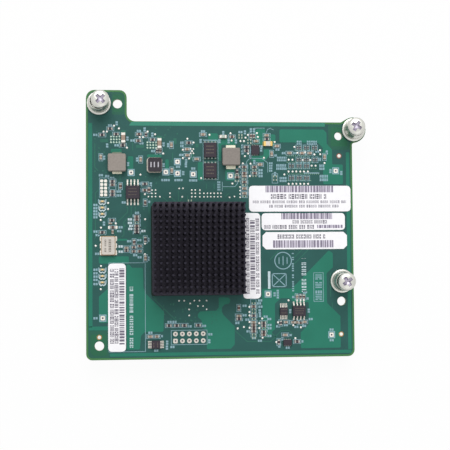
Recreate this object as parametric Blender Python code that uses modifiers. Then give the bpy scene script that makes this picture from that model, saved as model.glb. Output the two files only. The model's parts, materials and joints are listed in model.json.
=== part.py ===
"""Fibre channel mezzanine adapter card: board, finned processor, sprung captive screws and array connector.

The frame's origin is the centre of the array connector's mating face, +Z out of the component side.
Lengths are in metres. Places on the card are measured from the lower left corner of its top face.
"""
import math

import bmesh
import bpy

MM = 0.001

# Clearances between neighbouring pieces
SEAT = 0.3 * MM
FILM = 0.1 * MM

# Circuit board
BOARD_WIDTH = 98.8 * MM
BOARD_HEIGHT = 87.2 * MM
BOARD_THICK = 1.6 * MM
TAB_WIDTH = 14.85 * MM
TAB_RISE = 11.5 * MM
TAB_ROUND_LEFT = 3.1 * MM
TAB_ROUND_RIGHT = 2.6 * MM
TAB_FILLET = 3.0 * MM
CORNER_LEFT = 2.2 * MM
CORNER_RIGHT = 2.4 * MM
EAR_RIM = 0.4 * MM
EAR_OUTWARD = 0.5 * MM
EAR_BELOW_TOP = 2.8 * MM
EAR_FILLET = 1.0 * MM
EAR_RUN_UP = 4.2 * MM
PASSIVE_ROOT = 0.5 * MM

# Array connector below the board
CONNECTOR_LENGTH = 33.4 * MM
CONNECTOR_WIDTH = 17.6 * MM
CONNECTOR_HEIGHT = 7.2 * MM
CONNECTOR_WALL = 1.2 * MM
CONNECTOR_FLOOR = 2.6 * MM
CONNECTOR_CHAMFER = 1.6 * MM
CONNECTOR_FROM_RIGHT = 19.6 * MM
CONNECTOR_FROM_BOTTOM = 52.5 * MM
CONTACT_ROWS_PER_BAY = 3
CONTACT_THICK = 0.9 * MM
CONTACT_TEETH = 12
CONTACT_SLOT = 0.75 * MM
CONTACT_SLOT_DEPTH = 1.5 * MM
CONTACT_RECESS = 0.6 * MM
CONTACT_END_GAP = 0.8 * MM

# Captive screws: the heights are above the board's top face
FLANGE_RADIUS = 4.35 * MM
FLANGE_THICK = 0.8 * MM
SLEEVE_RADIUS = 3.65 * MM
SLEEVE_HEIGHT = 5.8 * MM
POCKET_RADIUS = 2.95 * MM
POCKET_FLOOR = 0.4 * MM
THROAT_RADIUS = 1.25 * MM
THROAT_DEPTH = 0.6 * MM
SHANK_RADIUS = 2.75 * MM
TAIL_BELOW_BOARD = 1.6 * MM
TAIL_BORE_RADIUS = 2.05 * MM
FLARE_RADIUS = 3.45 * MM
HEAD_RADIUS = 3.3 * MM
HEAD_HEIGHT = 1.8 * MM
SCREW_TRAVEL = 2.3 * MM
HEAD_SPARE = 0.5 * MM
NECK_RADIUS = 2.2 * MM
NECK_IN_SLEEVE = 0.6 * MM
SCREW_CORE_RADIUS = 1.0 * MM
THREAD_RADIUS = 1.5 * MM
THREAD_LENGTH = 2.5 * MM
RECESS_SPAN = 3.6 * MM
RECESS_SLOT = 0.95 * MM
RECESS_DEPTH = 1.3 * MM
SPRING_WIRE = 0.4 * MM
SPRING_RADIUS = 1.9 * MM
SPRING_TURNS = 4
SPRING_POINTS_PER_TURN = 8
TURNED_STEPS = 16

# Processor stack
SINK_SIDE = 33.9 * MM
SINK_CORNER = 1.6 * MM
SINK_BASE = 1.5 * MM
PIN_COUNT = 16
PIN_PITCH = 2.13 * MM
PIN_HEIGHT = 7.5 * MM
PIN_RADIUS_LOW = 0.56 * MM
PIN_RADIUS_HIGH = 0.46 * MM
PAD_SIDE = 27.0 * MM
PAD_THICK = 0.3 * MM
LID_SIDE = 29.0 * MM
LID_THICK = 1.1 * MM
SUBSTRATE_SIDE = 33.0 * MM
SUBSTRATE_THICK = 1.0 * MM
SINK_SHIFT_X = 0.85 * MM
SINK_SHIFT_Y = 0.7 * MM

# Moulded inductors and the shielded choke
INDUCTOR_SIDE = 6.5 * MM
INDUCTOR_DEPTH = 6.4 * MM
INDUCTOR_CHAMFER = 0.3 * MM
INDUCTOR_THICK = 2.4 * MM
TERMINAL_WIDTH = 3.5 * MM
TERMINAL_THICK = 0.5 * MM
TERMINAL_UNDER = 1.4 * MM
CHOKE_SIDE = 5.05 * MM
CHOKE_ROUND = 0.8 * MM
CHOKE_SHIFT = 0.15 * MM
CHOKE_BASE_SIDE = 5.6 * MM
CHOKE_BASE_CHAMFER = 0.8 * MM
CHOKE_BASE_THICK = 0.7 * MM
CHOKE_THICK = 1.9 * MM

# Small packages: bodies, leads and pitches
BODY_BEVEL = 0.12 * MM
LEAD_THICK = 0.2 * MM
LEAD_WIDTH = 0.45 * MM
STANDARD_PITCH = 1.27 * MM
FINE_LEAD_WIDTH = 0.32 * MM
FINE_PITCH = 0.56 * MM
POWER_BODY = (4.7 * MM, 5.5 * MM, 1.0 * MM)
STUB_LENGTH = 1.2 * MM
STUB_REACH = 0.45 * MM

# Oscillator
CAN_BASE_X = 5.5 * MM
CAN_BASE_Y = 7.0 * MM
CAN_BASE_THICK = 0.9 * MM
CAN_LID_X = 4.7 * MM
CAN_LID_Y = 6.5 * MM
CAN_LID_THICK = 0.7 * MM
CAN_NOTCHES = 6
CAN_NOTCH_RADIUS = 0.28 * MM

# Paper labels
LABEL_THICK = 0.1 * MM
LABEL_ROUND = 1.3 * MM

# Plated holes of the unfitted header
HEADER_PITCH = 2.54 * MM
HEADER_COLUMNS = 5
HEADER_HOLE_RADIUS = 0.5 * MM
HEADER_X = 32.34 * MM
HEADER_Y = 6.54 * MM

# Worked out from the sizes above
BOARD_BOTTOM = CONNECTOR_HEIGHT + SEAT
BOARD_TOP = BOARD_BOTTOM + BOARD_THICK
MATE_X = BOARD_WIDTH - CONNECTOR_FROM_RIGHT
MATE_Y = CONNECTOR_FROM_BOTTOM
FERRULE_HOLE_RADIUS = SHANK_RADIUS + SEAT
HEAD_GAP = SCREW_TRAVEL + HEAD_SPARE
EAR_RADIUS = FLANGE_RADIUS + EAR_RIM
EAR_X = BOARD_WIDTH + EAR_OUTWARD
EAR_Y = BOARD_HEIGHT - EAR_BELOW_TOP

# Screw places and how far each loose screw leans towards +X, in degrees
SCREWS = {
    "tab": (4.75 * MM, BOARD_HEIGHT + 6.55 * MM, 5.5),
    "ear": (EAR_X, EAR_Y, -5.5),
    "edge": (BOARD_WIDTH - 4.55 * MM, 27.9 * MM, 0.0),
}

# Round holes through the board: x, y and radius
TOOLING_HOLES = [
    (11.5 * MM, BOARD_HEIGHT + 6.45 * MM, 1.72 * MM),
    (BOARD_WIDTH - 5.15 * MM, BOARD_HEIGHT - 5.15 * MM, 1.5 * MM),
    (BOARD_WIDTH - 4.65 * MM, 20.4 * MM, 1.65 * MM),
    (4.73 * MM, 5.08 * MM, 1.72 * MM),
]
PLATED_HOLES = [
    (BOARD_WIDTH - 4.98 * MM, BOARD_HEIGHT - 12.6 * MM, 0.5 * MM),
    (4.75 * MM, 8.25 * MM, 0.5 * MM),
    (BOARD_WIDTH - 4.98 * MM, 8.2 * MM, 0.5 * MM),
]

# The layout is drawn in units of a millimetre for a card this many units wide and high. Its places
# spread with the card, and its parts keep their sizes.
LAYOUT_UNITS = (98.8, 87.2)

# Chip resistors and capacitors: kind, then places in layout units and the long side's direction.
# The first group is measured from the board's top edge, the second from its bottom edge.
CHIP_SIZES = {"small": (1.0, 0.55, 0.4), "medium": (1.6, 0.85, 0.5)}
CHIPS_FROM_TOP = {
    "medium": [
        (8.8, 2.8, "x"), (5.9, 5.1, "x"), (11.0, 4.8, "x"), (13.4, 8.9, "x"), (5.4, 13.3, "y"),
        (19.3, 4.8, "x"), (19.1, 7.2, "x"), (24.3, 6.8, "x"), (31.2, 8.7, "y"), (19.9, 14.1, "y"),
        (31.3, 18.2, "y"), (42.9, 4.8, "x"), (37.6, 7.9, "x"), (37.0, 10.3, "x"), (37.1, 12.5, "x"),
        (40.5, 13.9, "x"), (59.0, 9.4, "x"), (59.0, 10.8, "x"), (62.6, 7.2, "x"), (66.6, 5.0, "x"),
        (66.6, 6.4, "x"), (64.0, 15.9, "x"), (55.4, 18.7, "y"), (53.6, 5.6, "x"), (70.4, 9.0, "x"),
        (68.4, 11.9, "y"), (88.3, 13.0, "y"), (12.5, 23.9, "y"), (21.4, 23.1, "x"),
        (21.4, 25.4, "x"), (22.9, 25.3, "y"), (21.5, 30.0, "y"),
    ],
    "small": [(21.9, 4.9, "y"), (26.0, 10.9, "y"), (27.1, 10.9, "y"), (60.7, 5.3, "y"), (61.8, 5.3, "y")],
}
CHIPS_FROM_BOTTOM = {
    "medium": [
        (9.4, 50.8, "x"), (9.7, 48.2, "x"), (5.9, 46.4, "x"), (17.4, 42.7, "y"), (21.5, 43.7, "y"),
        (21.5, 36.9, "y"), (30.0, 12.2, "x"), (32.8, 12.2, "x"), (35.6, 12.2, "x"), (40.7, 12.2, "x"),
        (23.2, 8.3, "x"), (55.7, 18.3, "y"), (72.8, 8.2, "x"), (77.2, 5.7, "x"), (70.4, 5.6, "y"),
    ],
    "small": [
        (14.6, 40.7, "x"), (14.6, 39.7, "x"), (17.3, 40.9, "x"), (17.3, 39.4, "x"), (19.4, 41.3, "x"),
        (19.4, 39.4, "x"), (25.6, 8.3, "x"), (71.2, 12.6, "y"), (73.1, 12.9, "x"), (75.8, 12.8, "x"),
        (77.2, 12.8, "x"), (78.6, 12.6, "x"), (80.1, 12.9, "x"), (77.4, 22.2, "y"), (78.7, 22.2, "y"),
        (79.9, 22.2, "y"),
    ],
}
# Columns of chips that lie across: x, the chip kind and the heights of its rows
CHIP_COLUMNS_FROM_TOP = [
    (58.1, "medium", (16.8, 19.1, 20.2, 22.4, 24.8, 26.6)),
    (61.9, "medium", (16.8, 19.1)),
    (9.6, "medium", (22.2, 23.4, 25.9, 27.1)),
]
CHIP_COLUMNS_FROM_BOTTOM = [
    (18.4, "medium", (46.5, 47.6, 48.7, 51.0, 52.1)),
    (61.1, "medium", (9.7, 10.8, 11.9, 13.0, 15.4, 18.8)),
    (64.8, "medium", (8.4, 9.5, 11.7, 12.8)),
    (55.7, "medium", (14.3, 15.4)),
]
# Coupling capacitors for the serial links: pairs side by side, in rows below the top edge
PAIR_GAP = 1.08 * MM
PAIRS_FROM_TOP = [
    (9.6, (78.65, 81.55, 84.6)), (14.1, (78.65, 81.45, 84.7)),
    (16.4, (75.8, 78.65, 81.5)), (20.9, (75.8, 78.65, 81.5)),
]
CROSS_CAPACITORS = (11.6, (75.1, 79.8, 82.7))

# Places of the larger parts, and the labels' left, bottom, right and top sides, in layout units
PROCESSOR_PLACE = (40.1, 39.6)
LABELS = {
    "side_label": (57.4, 21.7, 63.9, 53.3),
    "left_label": (7.95, 3.0, 14.35, 35.0),
    "upper_label": (59.8, 53.8, 97.95, 63.4),
    "middle_label": (64.4, 46.9, 95.7, 53.2),
    "lower_label": (64.7, 39.8, 96.4, 46.2),
}
INDICATOR_ROWS = (57.7, 55.4, 53.1, 32.8, 30.5, 28.2)


def clear_scene():
    for item in list(bpy.data.objects):
        bpy.data.objects.remove(item, do_unlink=True)
    for group in list(bpy.data.collections):
        bpy.data.collections.remove(group)


def add_collection(name):
    group = bpy.data.collections.new(name)
    bpy.context.scene.collection.children.link(group)
    return group


clear_scene()
CARD = add_collection("fibre_channel_adapter")
CUTTERS = add_collection("cutters")


def across(units):
    """Distance from the board's left edge for a place in the layout."""
    return BOARD_WIDTH * units / LAYOUT_UNITS[0]


def up(units):
    """Distance from the board's bottom edge for a place in the layout."""
    return BOARD_HEIGHT * units / LAYOUT_UNITS[1]


def below_top(units):
    return BOARD_HEIGHT - up(units)


def principled(name, colour, roughness, metallic=0.0):
    material = bpy.data.materials.new(name)
    material.use_nodes = True
    shader = material.node_tree.nodes["Principled BSDF"]
    shader.inputs["Base Color"].default_value = (*colour, 1.0)
    shader.inputs["Roughness"].default_value = roughness
    shader.inputs["Metallic"].default_value = metallic
    return material


SOLDER_MASK = principled("solder_mask", (0.03, 0.12, 0.10), 0.35)
ANODISED = principled("black_anodised", (0.02, 0.02, 0.025), 0.5, 0.6)
GREY_PAD = principled("thermal_pad", (0.55, 0.55, 0.52), 0.9)
CERAMIC = principled("package_ceramic", (0.20, 0.24, 0.16), 0.6)
MOULDED = principled("moulded_black", (0.05, 0.045, 0.055), 0.55)
NICKEL = principled("nickel_plate", (0.72, 0.71, 0.68), 0.22, 1.0)
SPRING_STEEL = principled("spring_steel", (0.6, 0.6, 0.6), 0.3, 1.0)
CONNECTOR_BLACK = principled("connector_black", (0.03, 0.03, 0.03), 0.5)
GOLD = principled("contact_gold", (0.83, 0.62, 0.25), 0.25, 1.0)
IRON_POWDER = principled("iron_powder", (0.36, 0.32, 0.29), 0.75)
TINNED = principled("tinned", (0.75, 0.73, 0.68), 0.3, 1.0)
LIGHT_CERAMIC = principled("light_ceramic", (0.62, 0.60, 0.56), 0.6)
CAPACITOR_TAN = principled("capacitor_tan", (0.45, 0.30, 0.18), 0.5)
LED_AMBER = principled("led_amber", (0.80, 0.66, 0.38), 0.3)
PAPER = principled("label_paper", (0.92, 0.92, 0.93), 0.6)


def settle(item, group):
    for owner in list(item.users_collection):
        owner.objects.unlink(item)
    group.objects.link(item)


def place(item, name, material, x=0.0, y=0.0, z=0.0, parent=None):
    """Name, colour and place a piece on the card; z is the height above the board's top face."""
    item.name = name
    item.data.name = name
    item.data.materials.clear()
    item.data.materials.append(material)
    item.parent = parent or card_corner
    item.location = (x, y, z)
    settle(item, CARD)
    return item


def object_from(bm, name):
    mesh = bpy.data.meshes.new(name)
    bm.to_mesh(mesh)
    bm.free()
    item = bpy.data.objects.new(name, mesh)
    bpy.context.scene.collection.objects.link(item)
    return item


def meshed(curve_object, lift=0.0):
    """Turn a curve into one welded mesh that stands on z = 0."""
    bpy.context.view_layer.update()
    evaluated = curve_object.evaluated_get(bpy.context.evaluated_depsgraph_get())
    mesh = bpy.data.meshes.new_from_object(evaluated)
    bm = bmesh.new()
    bm.from_mesh(mesh)
    bmesh.ops.remove_doubles(bm, verts=bm.verts, dist=1e-6)
    bmesh.ops.translate(bm, verts=bm.verts, vec=(0.0, 0.0, lift))
    bmesh.ops.recalc_face_normals(bm, faces=bm.faces)
    bm.to_mesh(mesh)
    bm.free()
    item = bpy.data.objects.new(curve_object.name, mesh)
    bpy.context.scene.collection.objects.link(item)
    item.matrix_world = curve_object.matrix_world
    bpy.data.objects.remove(curve_object, do_unlink=True)
    return item


def outline_solid(name, loops, height):
    """A flat outline, with any further loops as holes, from z = 0 up to the height."""
    curve = bpy.data.curves.new(name, "CURVE")
    curve.dimensions = "2D"
    curve.fill_mode = "BOTH"
    curve.extrude = height / 2
    for loop in loops:
        spline = curve.splines.new("POLY")
        spline.points.add(len(loop) - 1)
        for point, (x, y) in zip(spline.points, loop):
            point.co = (x, y, 0.0, 1.0)
        spline.use_cyclic_u = True
    flat = bpy.data.objects.new(name, curve)
    bpy.context.scene.collection.objects.link(flat)
    return meshed(flat, lift=height / 2)


def arc(x, y, radius, start, end, steps=5):
    """Points along an arc; the angles are in degrees, and the ends are included."""
    angles = [math.radians(start + (end - start) * step / steps) for step in range(steps + 1)]
    return [(x + radius * math.cos(a), y + radius * math.sin(a)) for a in angles]


def circle(x, y, radius, steps):
    return arc(x, y, radius, 0.0, 360.0 * (steps - 1) / steps, steps - 1)


def rounded_rectangle(width, depth, radius, steps=3):
    """A rectangle about the origin, with all its corners rounded, or cut straight by one step."""
    x = width / 2 - radius
    y = depth / 2 - radius
    return (arc(x, y, radius, 0, 90, steps) + arc(-x, y, radius, 90, 180, steps)
            + arc(-x, -y, radius, 180, 270, steps) + arc(x, -y, radius, 270, 360, steps))


def boxes(name, parts):
    """Boxes in one mesh; each part is centre x, centre y, low z, size x, size y and height."""
    bm = bmesh.new()
    for x, y, low, size_x, size_y, height in parts:
        made = bmesh.ops.create_cube(bm, size=1.0)
        bmesh.ops.scale(bm, verts=made["verts"], vec=(size_x, size_y, height))
        bmesh.ops.translate(bm, verts=made["verts"], vec=(x, y, low + height / 2))
    return object_from(bm, name)


def boolean(target, tool, operation):
    """Cut a piece with a tool, or join the tool's shapes to it."""
    settle(tool, CUTTERS)
    tool.hide_render = True
    tool.display_type = "WIRE"
    step = target.modifiers.new(tool.name, "BOOLEAN")
    step.operation = operation
    step.solver = "EXACT"
    step.use_self = operation == "UNION"
    step.object = tool


def turned(name, profile, closed):
    """Turn a radius and height profile about +Z; it runs down the outer side first."""
    bm = bmesh.new()
    points = [bm.verts.new((radius, 0.0, height)) for radius, height in profile]
    for first, second in zip(points, points[1:]):
        bm.edges.new((first, second))
    if closed:
        bm.edges.new((points[-1], points[0]))
    item = object_from(bm, name)
    spin = item.modifiers.new("turn", "SCREW")
    spin.steps = TURNED_STEPS
    spin.render_steps = TURNED_STEPS
    spin.use_merge_vertices = True
    spin.merge_threshold = 0.00001
    spin.use_smooth_shade = True
    return item


card_corner = bpy.data.objects.new("card_corner", None)
card_corner.location = (-MATE_X, -MATE_Y, BOARD_TOP)
CARD.objects.link(card_corner)


def board_outline():
    """The card's edge: rounded corners, the fixing tab at the top left and the ear at the top right."""
    right = BOARD_WIDTH
    top = BOARD_HEIGHT
    fillet_x = right + EAR_FILLET
    reach = EAR_RADIUS + EAR_FILLET
    fillet_y = EAR_Y - math.sqrt(reach ** 2 - (fillet_x - EAR_X) ** 2)
    meet = math.degrees(math.atan2(EAR_Y - fillet_y, EAR_X - fillet_x))
    run_x = right - EAR_RUN_UP
    away = math.hypot(run_x - EAR_X, top - EAR_Y)
    bearing = math.degrees(math.atan2(top - EAR_Y, run_x - EAR_X))
    touch = bearing - math.degrees(math.acos(EAR_RADIUS / away))
    tab_top = top + TAB_RISE
    points = arc(CORNER_LEFT, CORNER_LEFT, CORNER_LEFT, 180, 270)
    points += arc(right - CORNER_RIGHT, CORNER_RIGHT, CORNER_RIGHT, 270, 360)
    points += arc(fillet_x, fillet_y, EAR_FILLET, 180, meet, 3)
    points += arc(EAR_X, EAR_Y, EAR_RADIUS, meet - 180, touch, 14)
    points.append((run_x, top))
    points += arc(TAB_WIDTH + TAB_FILLET, top + TAB_FILLET, TAB_FILLET, 270, 180)
    points += arc(TAB_WIDTH - TAB_ROUND_RIGHT, tab_top - TAB_ROUND_RIGHT, TAB_ROUND_RIGHT, 0, 90)
    points += arc(TAB_ROUND_LEFT, tab_top - TAB_ROUND_LEFT, TAB_ROUND_LEFT, 90, 180)
    return points


def chip_box(kind, x, y, turn):
    long_side, short_side, height = (size * MM for size in CHIP_SIZES[kind])
    size_x, size_y = (long_side, short_side) if turn == "x" else (short_side, long_side)
    return (x, y, -PASSIVE_ROOT, size_x, size_y, height + PASSIVE_ROOT)


def chip_boxes():
    """Every chip resistor and capacitor, as boxes rooted in the board."""
    found = []
    for groups, height in ((CHIPS_FROM_TOP, below_top), (CHIPS_FROM_BOTTOM, up)):
        for kind, places in groups.items():
            found += [chip_box(kind, across(x), height(y), turn) for x, y, turn in places]
    for groups, height in ((CHIP_COLUMNS_FROM_TOP, below_top), (CHIP_COLUMNS_FROM_BOTTOM, up)):
        for x, kind, rows in groups:
            found += [chip_box(kind, across(x), height(y), "x") for y in rows]
    for row, centres in PAIRS_FROM_TOP:
        for x in centres:
            found += [chip_box("small", across(x) + side * PAIR_GAP / 2, below_top(row), "y")
                      for side in (-1, 1)]
    row, centres = CROSS_CAPACITORS
    found += [chip_box("medium", across(x), below_top(row), "x") for x in centres]
    return found


def make_board():
    loops = [board_outline()]
    loops += [circle(x, y, radius, 20) for x, y, radius in TOOLING_HOLES]
    loops += [circle(x, y, radius, 10) for x, y, radius in PLATED_HOLES]
    loops += [circle(x, y, FERRULE_HOLE_RADIUS, TURNED_STEPS) for x, y, lean in SCREWS.values()]
    for column in range(HEADER_COLUMNS):
        for row in range(2):
            x = HEADER_X + column * HEADER_PITCH
            loops.append(circle(x, HEADER_Y + row * HEADER_PITCH, HEADER_HOLE_RADIUS, 8))
    board = place(outline_solid("board", loops, BOARD_THICK), "circuit_board", SOLDER_MASK, z=-BOARD_THICK)
    chips = place(boxes("chips", chip_boxes()), "chip_components", SOLDER_MASK)
    boolean(board, chips, "UNION")


def make_heat_sink(level):
    """Square base with rounded corners and a square field of tapered pins, forged as one."""
    base = outline_solid("sink", [rounded_rectangle(SINK_SIDE, SINK_SIDE, SINK_CORNER)], SINK_BASE)
    x = across(PROCESSOR_PLACE[0]) + SINK_SHIFT_X
    y = up(PROCESSOR_PLACE[1]) + SINK_SHIFT_Y
    place(base, "heat_sink", ANODISED, x, y, level)
    root = SINK_BASE / 2
    first = -PIN_PITCH * (PIN_COUNT - 1) / 2
    bm = bmesh.new()
    for column in range(PIN_COUNT):
        for row in range(PIN_COUNT):
            made = bmesh.ops.create_cone(bm, cap_ends=True, segments=6, radius1=PIN_RADIUS_LOW,
                                         radius2=PIN_RADIUS_HIGH, depth=PIN_HEIGHT + root)
            centre = (first + column * PIN_PITCH, first + row * PIN_PITCH, root + (PIN_HEIGHT + root) / 2)
            bmesh.ops.translate(bm, verts=made["verts"], vec=centre)
    pins = place(object_from(bm, "pins"), "sink_pins", ANODISED, x, y, level)
    boolean(base, pins, "UNION")


def square_plate(name, material, side, thick, level, round_by):
    plate = outline_solid(name, [rounded_rectangle(side, side, round_by, 2)], thick)
    place(plate, name, material, across(PROCESSOR_PLACE[0]), up(PROCESSOR_PLACE[1]), level)


def make_processor():
    level = SEAT
    square_plate("package_substrate", CERAMIC, SUBSTRATE_SIDE, SUBSTRATE_THICK, level, 0.5 * MM)
    level += SUBSTRATE_THICK + FILM
    square_plate("package_lid", MOULDED, LID_SIDE, LID_THICK, level, 1.0 * MM)
    level += LID_THICK + FILM
    square_plate("thermal_pad", GREY_PAD, PAD_SIDE, PAD_THICK, level, 0.5 * MM)
    make_heat_sink(level + PAD_THICK + FILM)


def ferrule_profile():
    edge = 0.15 * MM
    flange_top = SEAT + FLANGE_THICK
    below = -BOARD_THICK - SEAT
    tail = -BOARD_THICK - TAIL_BELOW_BOARD
    return [
        (POCKET_RADIUS + edge, SLEEVE_HEIGHT), (SLEEVE_RADIUS - edge, SLEEVE_HEIGHT),
        (SLEEVE_RADIUS, SLEEVE_HEIGHT - edge), (SLEEVE_RADIUS, flange_top + edge),
        (FLANGE_RADIUS - edge, flange_top), (FLANGE_RADIUS, flange_top - edge),
        (FLANGE_RADIUS, SEAT + edge), (FLANGE_RADIUS - edge, SEAT), (SHANK_RADIUS, SEAT),
        (SHANK_RADIUS, below), (FLARE_RADIUS, below), (FLARE_RADIUS, below - 2 * edge),
        (SHANK_RADIUS, below - 5 * edge), (SHANK_RADIUS, tail), (TAIL_BORE_RADIUS, tail),
        (TAIL_BORE_RADIUS, POCKET_FLOOR - THROAT_DEPTH), (THROAT_RADIUS, POCKET_FLOOR - THROAT_DEPTH),
        (THROAT_RADIUS, POCKET_FLOOR), (POCKET_RADIUS, POCKET_FLOOR),
        (POCKET_RADIUS, SLEEVE_HEIGHT - edge),
    ]


def screw_profile():
    """The raised screw: domed head, neck in the sleeve, thin shank through the throat, and thread."""
    edge = 0.25 * MM
    under_head = SLEEVE_HEIGHT + HEAD_GAP
    top = under_head + HEAD_HEIGHT
    neck = SLEEVE_HEIGHT - NECK_IN_SLEEVE
    shoulder = POCKET_FLOOR - THROAT_DEPTH - SEAT
    tip = shoulder - THREAD_LENGTH
    dome = [(HEAD_RADIUS * reach, top - HEAD_HEIGHT * drop)
            for reach, drop in ((0.0, 0.0), (0.45, 0.05), (0.75, 0.2), (0.93, 0.45), (1.0, 0.75))]
    return dome + [
        (HEAD_RADIUS, under_head + edge / 2), (HEAD_RADIUS - edge / 2, under_head),
        (NECK_RADIUS, under_head), (NECK_RADIUS, neck), (SCREW_CORE_RADIUS, neck),
        (SCREW_CORE_RADIUS, shoulder), (THREAD_RADIUS, shoulder), (THREAD_RADIUS, tip + edge),
        (THREAD_RADIUS - edge, tip), (0.0, tip),
    ]


def cross_recess(name, level):
    """Cross of two slots, sunk into the head's top."""
    arm = RECESS_SPAN / 2
    half = RECESS_SLOT / 2
    corner = [(arm, half), (half, half), (half, arm)]
    loop = []
    for quarter in range(4):
        turn = math.radians(90 * quarter)
        loop += [(x * math.cos(turn) - y * math.sin(turn), x * math.sin(turn) + y * math.cos(turn))
                 for x, y in corner]
    return outline_solid(name, [loop], level)


def spring_coil(name, low, high):
    """Compression spring as one wire along a helix, from its lowest to its highest point."""
    curve = bpy.data.curves.new(name, "CURVE")
    curve.dimensions = "3D"
    curve.bevel_depth = SPRING_WIRE / 2
    curve.bevel_resolution = 0
    curve.use_fill_caps = True
    count = SPRING_TURNS * SPRING_POINTS_PER_TURN + 1
    spline = curve.splines.new("POLY")
    spline.points.add(count - 1)
    start = low + SPRING_WIRE / 2
    rise = high - low - SPRING_WIRE
    for step, point in enumerate(spline.points):
        turn = 2 * math.pi * step / SPRING_POINTS_PER_TURN
        height = start + rise * step / (count - 1)
        point.co = (SPRING_RADIUS * math.cos(turn), SPRING_RADIUS * math.sin(turn), height, 1.0)
    coil = bpy.data.objects.new(name, curve)
    bpy.context.scene.collection.objects.link(coil)
    return meshed(coil)


def make_captive_screw(label, x, y, lean):
    """One fixing: a ferrule flared into the board, and in it a screw that a spring holds up."""
    ferrule = turned("ferrule", ferrule_profile(), closed=True)
    place(ferrule, label + "_ferrule", NICKEL, x, y)
    socket = bpy.data.objects.new(label + "_screw_axis", None)
    socket.parent = card_corner
    socket.location = (x, y, POCKET_FLOOR - THROAT_DEPTH / 2)
    socket.rotation_euler = (0.0, math.radians(lean), 0.0)
    CARD.objects.link(socket)
    drop = -socket.location.z
    screw = place(turned("screw", screw_profile(), closed=False), label + "_screw", NICKEL,
                  z=drop, parent=socket)
    top = SLEEVE_HEIGHT + HEAD_GAP + HEAD_HEIGHT
    recess = place(cross_recess("recess", RECESS_DEPTH + HEAD_HEIGHT), label + "_recess", NICKEL,
                   z=drop + top - RECESS_DEPTH, parent=socket)
    recess.rotation_euler = (0.0, 0.0, math.radians(20.0))
    boolean(screw, recess, "DIFFERENCE")
    low = POCKET_FLOOR + SEAT
    high = SLEEVE_HEIGHT - NECK_IN_SLEEVE - SEAT
    coil = spring_coil("coil", low, high)
    place(coil, label + "_spring", SPRING_STEEL, z=drop, parent=socket)


def make_connector():
    """Array connector: a shrouded housing with a keying rib down its middle and rows of contacts."""
    half_x = CONNECTOR_LENGTH / 2
    half_y = CONNECTOR_WIDTH / 2
    cut = CONNECTOR_CHAMFER
    outline = [(half_x, -half_y), (half_x, half_y), (-half_x, half_y), (-half_x, -half_y + cut),
               (-half_x + cut, -half_y)]
    housing = outline_solid("housing", [outline], CONNECTOR_HEIGHT)
    bottom = -BOARD_TOP
    place(housing, "connector_housing", CONNECTOR_BLACK, MATE_X, MATE_Y, bottom)
    depth = CONNECTOR_HEIGHT - CONNECTOR_FLOOR
    bay_length = CONNECTOR_LENGTH - 2 * max(CONNECTOR_WALL, cut)
    bay = (CONNECTOR_WIDTH - 3 * CONNECTOR_WALL) / 2
    from_rib = (bay + CONNECTOR_WALL) / 2
    hollows = [(0.0, side * from_rib, -SEAT, bay_length, bay, depth + SEAT) for side in (-1, 1)]
    bays = place(boxes("bays", hollows), "connector_bays", CONNECTOR_BLACK, MATE_X, MATE_Y, bottom)
    boolean(housing, bays, "DIFFERENCE")
    row_length = bay_length - 2 * CONTACT_END_GAP
    row_height = depth - CONTACT_RECESS - FILM
    pitch = row_length / CONTACT_TEETH
    comb = [(-row_length / 2, row_height), (-row_length / 2, 0.0)]
    for slot in range(1, CONTACT_TEETH):
        middle = -row_length / 2 + slot * pitch
        low, high = middle - CONTACT_SLOT / 2, middle + CONTACT_SLOT / 2
        comb += [(low, 0.0), (low, CONTACT_SLOT_DEPTH), (high, CONTACT_SLOT_DEPTH), (high, 0.0)]
    comb += [(row_length / 2, 0.0), (row_length / 2, row_height)]
    number = 0
    for side in (-1, 1):
        for row in range(CONTACT_ROWS_PER_BAY):
            number += 1
            offset = bay * (row + 0.5) / CONTACT_ROWS_PER_BAY - bay / 2
            contacts = outline_solid("contacts", [comb], CONTACT_THICK)
            place(contacts, "contact_row_" + str(number), GOLD, MATE_X,
                  MATE_Y + side * from_rib + offset + CONTACT_THICK / 2, bottom + CONTACT_RECESS)
            contacts.rotation_euler = (math.radians(90.0), 0.0, 0.0)


def make_inductor(label, x, y, overhang):
    """Pressed powder block on two flat terminals that show beyond its ends."""
    block = outline_solid("block", [rounded_rectangle(INDUCTOR_SIDE, INDUCTOR_DEPTH, INDUCTOR_CHAMFER, 1)],
                          INDUCTOR_THICK)
    place(block, label + "_core", IRON_POWDER, x, y, TERMINAL_THICK + 2 * FILM)
    crown = block.modifiers.new("crown", "BEVEL")
    crown.width = 0.2 * MM
    crown.segments = 1
    length = TERMINAL_UNDER + overhang
    for name, side in (("north", 1), ("south", -1)):
        strip = outline_solid("strip", [rounded_rectangle(TERMINAL_WIDTH, length, 0.2 * MM, 1)],
                              TERMINAL_THICK)
        middle = INDUCTOR_DEPTH / 2 - TERMINAL_UNDER + length / 2
        place(strip, label + "_terminal_" + name, TINNED, x, y + side * middle, FILM)


def make_choke(x, y):
    base = outline_solid("base", [rounded_rectangle(CHOKE_BASE_SIDE, CHOKE_BASE_SIDE, CHOKE_BASE_CHAMFER, 1)],
                         CHOKE_BASE_THICK)
    place(base, "choke_base", LIGHT_CERAMIC, x, y, FILM)
    core = outline_solid("core", [rounded_rectangle(CHOKE_SIDE, CHOKE_SIDE, CHOKE_ROUND, 3)], CHOKE_THICK)
    place(core, "choke_core", MOULDED, x + CHOKE_SHIFT, y, 2 * FILM + CHOKE_BASE_THICK)


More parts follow.
